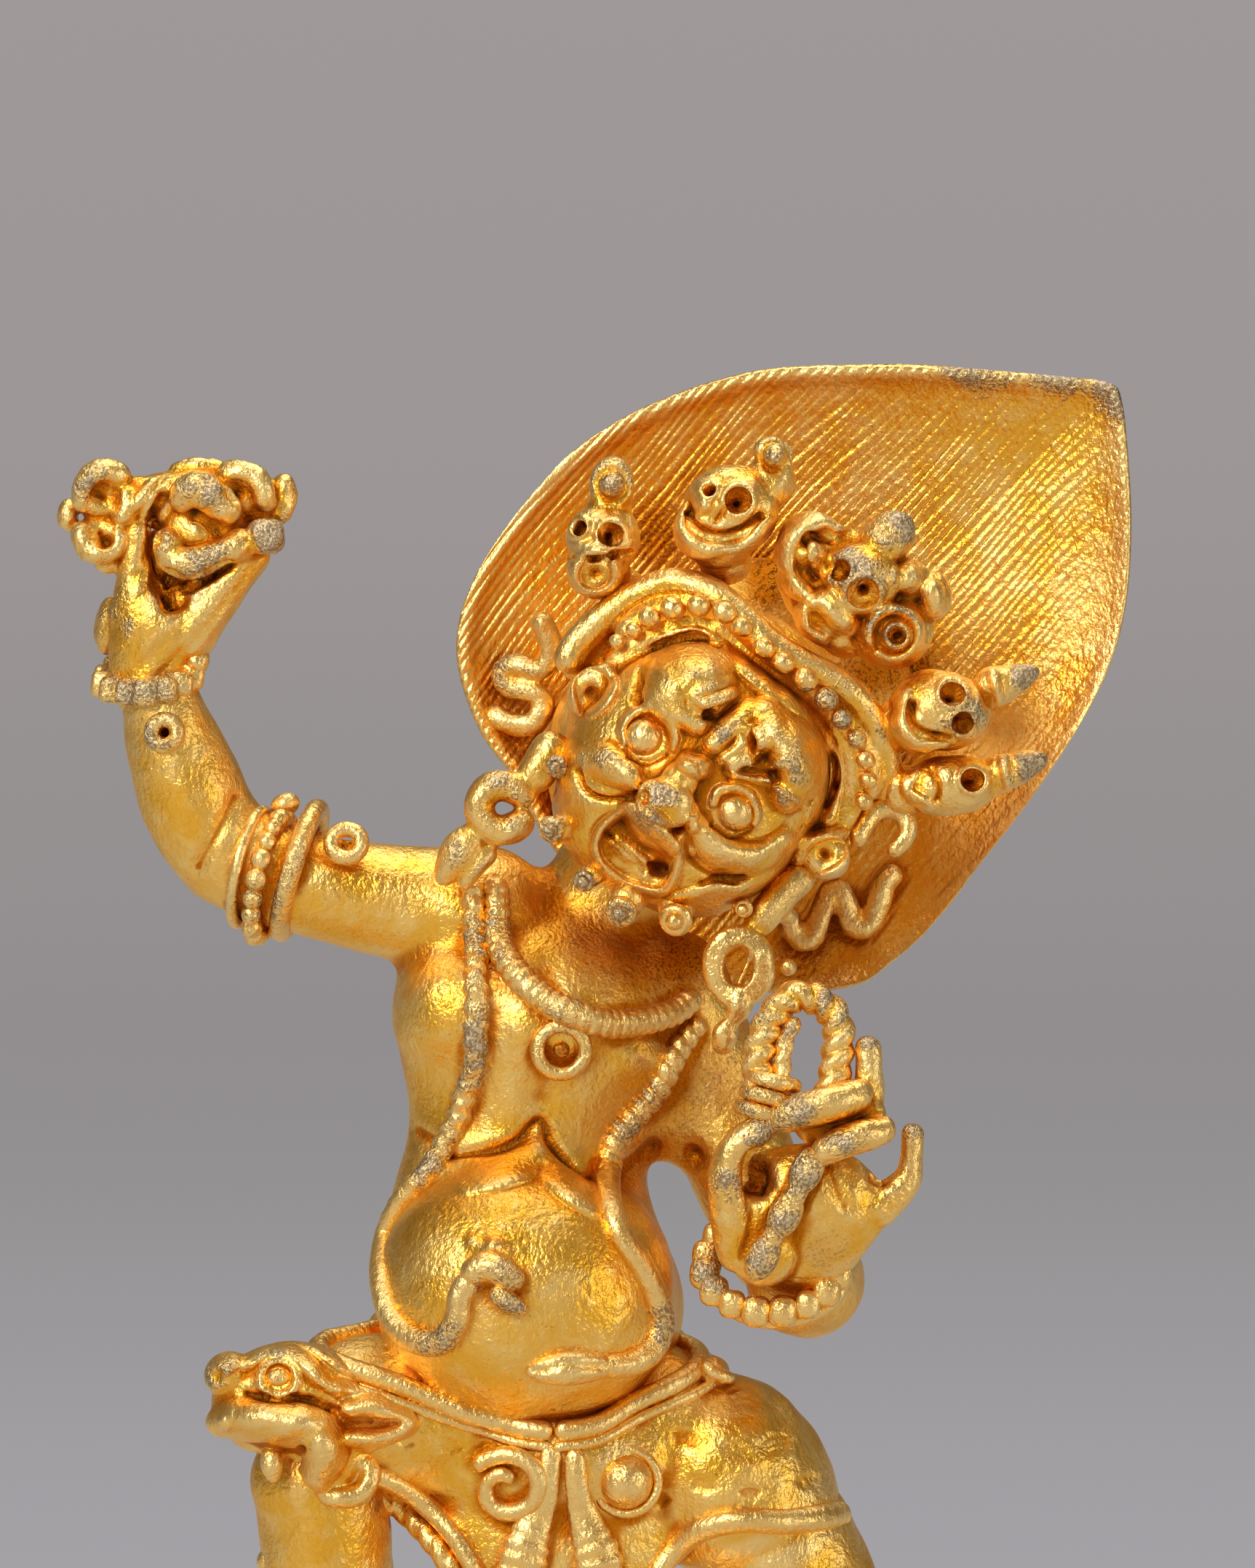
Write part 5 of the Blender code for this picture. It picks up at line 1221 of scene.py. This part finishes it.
# Tiger-skin kilt
# The skin is wrapped round the hips and over both thighs, held by a wire belt that is knotted at
# the left hip, with a plain rolled hem and flame marks for fur scratched into the wax.
KILT_GRAIN = 0.2
kilt = [
    limb([(-4.6, -2.6, 33.0, 9.6), (-4.6, -3.2, 27.5, 9.0), (-4.6, -4.4, 22.0, 5.4),
          (-4.6, -5.0, 15.5, 2.0)],
         depth=0.42, sides=48),
    ball((-4.4, -0.8, 31.4), (11.0, 6.9, 6.0), sides=64),
    ball((2.2, 0.2, 33.6), (6.6, 6.2, 5.0), 0.5, sides=48),
    ball((-9.6, 0.8, 34.4), (6.8, 6.4, 4.9), -0.1, sides=48),
    limb([(-6.0, 0.2, 33.2, 7.2), (-12.5, -1.8, 34.0, 5.9), (-18.5, -3.8, 34.6, 4.6),
          (-21.6, -4.6, 34.4, 4.2)],
         sides=36),
    limb([(1.6, 0.2, 33.2, 7.4), (6.0, -0.6, 30.6, 6.3), (8.0, -0.8, 27.2, 5.7),
          (9.2, -0.8, 22.6, 4.4)], sides=36),
]
fur_marks = [(7.2, 34.4, 1.6, 0.5), (9.4, 31.6, 1.5, 0.9), (6.4, 31.2, 1.4, 0.2), (3.4, 32.2, 1.2, 0.4),
             (9.8, 34.6, 1.2, 1.1), (4.4, 29.4, 1.1, 0.3), (11.4, 29.6, 1.0, 0.8),
             (-8.6, 31.6, 1.1, 0.6), (-11.4, 31.8, 1.2, 0.2), (1.8, 28.6, 0.9, 0.4),
             (-14.2, 32.4, 1.0, 0.1), (7.6, 28.9, 1.0, 0.7)]
fur = []
for x, z, size, lean in fur_marks:
    for k in range(3):
        turns = lean + np.linspace(0.2, 1.6, 5)
        reach = size * (1 - 0.27 * k)
        fur.append(([(x + reach * math.cos(t), z + reach * math.sin(t)) for t in turns], 0.17, 0.13))
kilt_skin = chased(fused([fused(kilt, KILT_GRAIN * 1.5, 16)], KILT_GRAIN, 2), fur)
put("tiger_skin_kilt", uneven(kilt_skin, 0.05, 1.3),
    worn=[(8.0, 33.0, 3.0, 0.12)])
wrap = touching(joined([kilt_skin, torso]))


def girdle(tree, centre, heights, radius, count=90):
    """Cord right round a skin: its height is read round the body from the front, its place by rays."""
    turn = np.linspace(0, 2 * math.pi, count + 1)
    level = through(np.stack([heights, heights], 1), 10)[:, 0]
    level = np.interp(turn, np.linspace(0, 2 * math.pi, len(level)), level)
    path = []
    for angle, height in zip(turn, level):
        out = np.array([math.sin(angle), -math.cos(angle), 0.0])
        start = np.array([*centre, height]) + 60 * out
        hit = np.array(tree.ray_cast(start.tolist(), (-out).tolist(), 60)[0])
        path.append([*(hit + 0.4 * radius * out), radius])
    return sweep(np.array(path), facing=(0, 0, 1), sides=20, step=0.25)


def rope_hem(run, angle):
    """Two strands, one turn in 2.8, cut less deep than the noose."""
    return 0.9 + 0.16 * np.abs(np.sin(angle - math.pi * run / 1.4))


def sash_ends(run, angle):
    """Fine pleats across the spread end: a sine wave of the run, from 5 on."""
    return 1.0 + 0.05 * np.clip(run - 5.0, 0, 1) * np.sin(2 * math.pi * run / 0.9)


WAIST = (-4.6, 0.0)
belt_heights = np.array([33.4, 33.8, 35.1, 36.6, 37.9, 38.8, 39.4, 39.7, 39.8, 39.8, 39.9, 40.1, 40.4,
                         40.2, 39.3, 37.3, 35.0, 33.8, 33.4])
knot = depth_at(wrap, 5.2, 36.4)
trim = [
    girdle(wrap, WAIST, belt_heights, 0.7),
    girdle(wrap, WAIST, belt_heights - 0.95, 0.34),
    ball((5.3, knot + 0.2, 37.0), (1.1, 1.2, 1.0), 0.4),
    limb([(4.6, knot - 0.4, 37.6, 0.4), (5.6, knot - 0.8, 36.8, 0.45), (6.6, knot, 36.6, 0.35)]),
    laid(wrap, [(1.6, 24.2, 0.6), (2.9, 25.9, 0.75), (4.6, 27.3, 0.8), (7.0, 27.9, 0.8),
                (9.9, 27.8, 0.8), (12.4, 28.0, 0.85), (13.9, 28.2, 0.7)], sink=0.6),
    laid(wrap, [(-17.2, 30.2, 0.7), (-16.0, 29.4, 0.7), (-13.9, 28.3, 0.75), (-11.6, 25.9, 0.75),
                (-9.6, 22.6, 0.7), (-7.4, 19.0, 0.7), (-5.4, 17.0, 0.6)], ripple=rope_hem),
    laid(wrap, [(-16.6, 31.2, 0.6), (-13.6, 29.6, 0.65), (-11.0, 27.2, 0.65), (-9.0, 24.0, 0.6)]),
    laid(wrap, [(1.6, 24.2, 0.7), (-0.6, 21.0, 0.7), (-4.4, 16.8, 0.6)]),
    laid(wrap, [(-4.7, 32.6, 0.6), (-4.9, 30.8, 0.7), (-5.2, 29.2, 0.85), (-5.9, 27.4, 1.2),
                (-6.5, 25.4, 1.5), (-7.0, 22.6, 1.2), (-7.2, 20.6, 0.6)], depth=0.55, ripple=sash_ends),
    laid(wrap, [(-3.3, 32.4, 0.6), (-3.2, 30.8, 0.7), (-3.0, 29.2, 0.8), (-2.4, 27.2, 1.2),
                (-1.8, 25.2, 1.5), (-1.6, 22.6, 1.2), (-1.8, 20.6, 0.6)], depth=0.55, ripple=sash_ends),
    laid(wrap, [(-9.3, 30.9, 0.5), (-8.9, 31.6, 0.55), (-7.4, 32.0, 0.6), (-6.0, 31.4, 0.6),
                (-5.5, 30.2, 0.6), (-6.0, 28.9, 0.6), (-7.4, 28.4, 0.6), (-8.6, 29.0, 0.55),
                (-8.7, 30.2, 0.5), (-7.8, 30.8, 0.5), (-7.0, 30.4, 0.45)], sink=0.3),
    ball((-0.1, depth_at(wrap, -0.1, 30.3) + 0.5, 30.3), (1.75, 1.7, 1.75)),
    hoop((-0.1, depth_at(wrap, -0.1, 30.3) + 0.3, 30.3), (2.0, 2.0), 0.3),
]
put("belt_hems_and_sash", joined(trim))


# Tiger's head
# The head of the skin hangs over the bent knee: snout to the left, almond eye with a double brow,
# a broad muzzle flap, a fang and curled jowls.
TIGER_GRAIN = 0.14
tiger = [
    ball((-21.0, -6.0, 35.4), (4.9, 3.4, 3.6), -0.1, sides=48),
    ball((-24.6, -6.8, 36.9), (1.7, 1.8, 1.5)),
    ball((-25.2, -7.0, 34.0), (1.0, 1.2, 1.0)),
    ball((-18.6, -6.4, 32.4), (2.4, 2.4, 3.0)),
    limb([(-22.1, -8.0, 32.6, 0.7), (-22.0, -8.3, 31.2, 0.7), (-21.9, -8.2, 30.2, 0.3)]),
    limb([(-19.0, -6.4, 34.6, 2.3), (-16.6, -7.0, 34.2, 2.1), (-14.4, -7.2, 34.0, 1.4),
          (-12.7, -7.2, 33.9, 0.6)],
         depth=0.7),
    limb([(-16.9, -6.8, 32.0, 0.6), (-15.9, -7.2, 31.0, 0.7), (-16.5, -7.4, 29.6, 0.7),
          (-18.2, -7.6, 29.3, 0.65), (-19.3, -7.4, 30.0, 0.5)]),
]
tiger_forms = [
    # nostril and lip
    [(-25.2, 37.4, 0.6, 0.7), (-24.4, 37.8, 0.5, 0.6)],
    # inner and outer brow
    [(-23.6, 37.7, 0.6, 0.5), (-22.4, 38.4, 0.8, 0.55), (-20.9, 38.4, 0.8, 0.6), (-19.6, 37.4, 0.8, 0.6),
     (-18.3, 36.3, 0.7, 0.55), (-16.4, 36.0, 0.6, 0.5)],
    [(-22.2, 39.3, 0.5, 0.45), (-19.9, 39.1, 0.6, 0.5), (-17.9, 37.7, 0.6, 0.5), (-16.4, 37.0, 0.5, 0.45)],
    # rim of the eye
    arc((-21.6, 36.8), 1.15, 0, 360, 0.5, 0.35),
    # flap of the muzzle
    [(-24.4, 34.2, 1.2, 1.3), (-22.8, 34.1, 1.6, 1.5), (-21.0, 33.9, 1.8, 1.6), (-19.4, 33.4, 2.0, 1.8),
     (-18.8, 32.0, 1.8, 1.6), (-19.2, 30.6, 1.1, 1.0)],
    # two lobes of the ear
    [(-17.3, 34.9, 1.2, 0.7), (-15.6, 35.1, 1.5, 0.9), (-13.4, 34.1, 0.9, 0.7)],
    [(-17.2, 33.1, 1.1, 0.6), (-15.4, 32.9, 1.4, 0.8), (-13.4, 33.8, 0.8, 0.6)],
]
tiger_skin = chased(risen(fused(tiger, TIGER_GRAIN, 8), tiger_forms), [
    ([(-25.4, 37.0)], 0.35, 0.6),
    ([(-23.6, 35.9), (-21.8, 35.6), (-19.8, 35.6), (-18.2, 34.9)], 0.2, 0.5),
    ([(-20.2, 32.4), (-20.6, 31.4)], 0.25, 0.4),
    ([(-17.3, 34.1), (-16.0, 34.1), (-14.2, 34.0)], 0.18, 0.4),
])
eye_depth = depth_at(touching(tiger_skin), -21.6, 36.8) + 0.2
tiger_skin = joined([tiger_skin, ball((-21.6, eye_depth, 36.8), (0.8, 0.6, 0.62))])
put("tiger_head", uneven(tiger_skin, 0.04, 0.8),
    worn=[(-25.2, 36.8, 1.2, 0.4), (-21.8, 38.3, 1.4, 0.35)])


# Legs
# Below the photograph's edge: short strong legs, one bent and one straight, with bead anklets and
# broad bare feet, kept plain.
LEG_GRAIN = 0.22
legs = [
    limb([(-20.4, -4.2, 34.0, 4.2), (-18.9, -3.0, 27.5, 4.1), (-18.8, -1.2, 19.0, 4.2),
          (-19.4, 0.6, 9.5, 3.1), (-19.8, 1.0, 3.6, 2.9), (-19.8, 0.9, 0.9, 2.9)], sides=36),
    limb([(6.4, -0.6, 30.0, 5.7), (10.6, -1.0, 24.0, 4.8), (13.6, -0.4, 16.0, 4.3),
          (16.2, 1.0, 8.6, 3.1), (17.2, 1.4, 3.6, 2.9), (17.2, 1.3, 0.9, 2.9)], sides=36),
]
for side, heel in ((-1, -18.9), (1, 16.3)):
    legs.append(limb([(heel, 3.2, 1.9, 1.9), (heel + side * 1.6, -1.6, 2.0, 2.3),
                      (heel + side * 3.6, -6.6, 1.5, 2.3), (heel + side * 4.6, -8.8, 1.2, 1.7)],
                     depth=0.62, facing=(0, 0, 1)))
    for k in range(5):
        spread = -1.9 + 0.95 * k
        toe = (heel + side * 4.8 + spread, -10.0 - 0.24 * side * spread, 0.95)
        legs.append(ball(toe, (0.7, 1.3, 0.85), sides=16))
legs_skin = uneven(fused(legs, LEG_GRAIN, 4), 0.06, 1.5)
put("legs", legs_skin)
anklets = []
for ankle in (-19.7, 17.1):
    anklets += beads_round((ankle, 1.0, 6.0), (3.1, 3.1), (0, 0, 1), 14, 0.8)
    anklets.append(hoop((ankle, 1.0, 7.1), (3.0, 3.0), 0.4, (0, 0, 1)))
anklets.append(ball((-22.3, -3.4, 25.2), (0.8, 0.8, 0.8)))
put("anklets", joined(anklets))


# Lotus pedestal
# A separate cast oval: plinth moulding, a ring of broad double petals and a plain rim, gilt like the
# figure and brushed flat on top.
PETAL_COUNT = 20
PETAL_RELIEF = 0.0016
PLINTH_HEIGHT = 0.0022
RIM_HEIGHT = 0.0016
BASE_LOW, BASE_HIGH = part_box("lotus_base")
BASE_HEIGHT = BASE_HIGH.z - BASE_LOW.z


def lotus():
    """Turned oval, its radius by height and by angle.

    Each petal is half a sine wave of the angle; a second, narrower one stands on it for the inner
    petal, and the relief fades to the plain mouldings above and below.
    """
    half_width, half_depth = BASE_HIGH.x - PETAL_RELIEF * 1.2, BASE_HIGH.y - PETAL_RELIEF * 1.2
    petal_top = BASE_HEIGHT - RIM_HEIGHT
    turn = np.linspace(0, 2 * math.pi, PETAL_COUNT * 22, endpoint=False)[None]
    rows = np.concatenate([np.linspace(0, PLINTH_HEIGHT, 9), np.linspace(PLINTH_HEIGHT, petal_top, 44)[1:],
                           np.linspace(petal_top, BASE_HEIGHT, 9)[1:]])[:, None]
    share = np.clip((rows - PLINTH_HEIGHT) / (petal_top - PLINTH_HEIGHT), 0, 1)
    phase = np.abs(np.sin(turn * PETAL_COUNT / 2))
    belly = np.sin(math.pi * np.clip(share * 0.9 + 0.08, 0, 1)) ** 0.7
    tip = np.clip((phase - share**3 * 0.8) * 4, 0, 1)
    inner = np.clip((phase - 0.45 - share * 0.25) * 4, 0, 1) * (share > 0.0) * (share < 0.9)
    petals = (phase**0.5 * 0.75 * tip + inner * 0.2) * belly
    moulding = 0.9 + 0.25 * np.sin(math.pi * rows / PLINTH_HEIGHT)
    plinth = np.where(rows < PLINTH_HEIGHT, moulding, 0.2 - 0.55 * share)
    rim = np.where(rows > petal_top, 0.35 * np.sin(math.pi * (rows - petal_top) / RIM_HEIGHT), 0.0)
    out = PETAL_RELIEF * (plinth + rim + petals)
    rings = np.stack([(half_width + out) * np.cos(turn), (half_depth + out) * np.sin(turn),
                      BASE_LOW.z + rows * np.ones_like(turn)], -1)
    return shell(rings)


base_points, base_triangles = lotus()
base_points = (base_points - (0, 0, FIGURE_LOW.z)) / UNIT
put("lotus_pedestal", (base_points, base_triangles),
    finish=gilding("pedestal_gilding"), node="lotus_base")


# Painted shade and highlight
# Painted shade and highlight, grime and rubbing follow the form: each point of the finished pieces is
# measured for how deep it lies in a hollow, or how far it stands proud of what is round it.
CELL = 0.3                # of the figure's hundreds
REACHES = ((2, 0.55), (9, 0.45))


def blurred(field, rounds):
    """Spreads a field of cells along each axis, a quarter to each side and a half kept, that often."""
    for axis in range(3):
        for _ in range(rounds):
            field = (np.roll(field, 1, axis) + 2 * field + np.roll(field, -1, axis)) * 0.25
    return field


def hollows(skins):
    """Recess at each point: how far the middle of the surface round it lies along its outward normal.

    The surface is gathered in cells by area, and its area and moments are spread to a bell whose
    half-size is the cell times the root of half the rounds. The distance is taken over that size.
    """
    low = np.min([points.min(0) for points, _ in skins], axis=0) - 4
    shape = ((np.max([points.max(0) for points, _ in skins], axis=0) + 4 - low) / CELL).astype(int) + 1
    strides = np.array([shape[1] * shape[2], shape[2], 1])
    gathered = np.zeros((4, int(np.prod(shape))), np.float32)
    for points, triangles in skins:
        a, b, c = (points[triangles[:, k]] for k in range(3))
        area = np.linalg.norm(np.cross(b - a, c - a), axis=1)
        centre = (a + b + c) / 3 - low
        cell = (np.round(centre / CELL).astype(int) * strides).sum(1)
        for k, weight in enumerate((area, area * centre[:, 0], area * centre[:, 1], area * centre[:, 2])):
            gathered[k] += np.bincount(cell, weight, gathered.shape[1]).astype(np.float32)
    fields = gathered.reshape(4, *shape)
    recess = [np.zeros(len(points)) for points, _ in skins]
    for rounds, share in REACHES:
        spread = [blurred(field, rounds).ravel() for field in fields]
        size = CELL * math.sqrt(rounds / 2)
        for (points, triangles), total in zip(skins, recess):
            place = (points - low) / CELL
            corner = np.floor(place).astype(int)
            part = place - corner
            sums = np.zeros((4, len(points)))
            for step in np.ndindex(2, 2, 2):
                weight = np.prod(np.where(step, part, 1 - part), axis=1)
                cell = ((corner + step) * strides).sum(1)
                sums += weight * np.array([field[cell] for field in spread])
            mean = sums[1:].T / np.maximum(sums[:1].T, 1e-9) + low
            total += share * ((mean - points) * outward(points, triangles)).sum(1) / size
    return recess


for (piece, _, _), recess in zip(pieces, hollows([(points, triangles) for _, points, triangles in pieces])):
    piece.data.attributes.new("recess", "FLOAT", "POINT").data.foreach_set("value", recess)
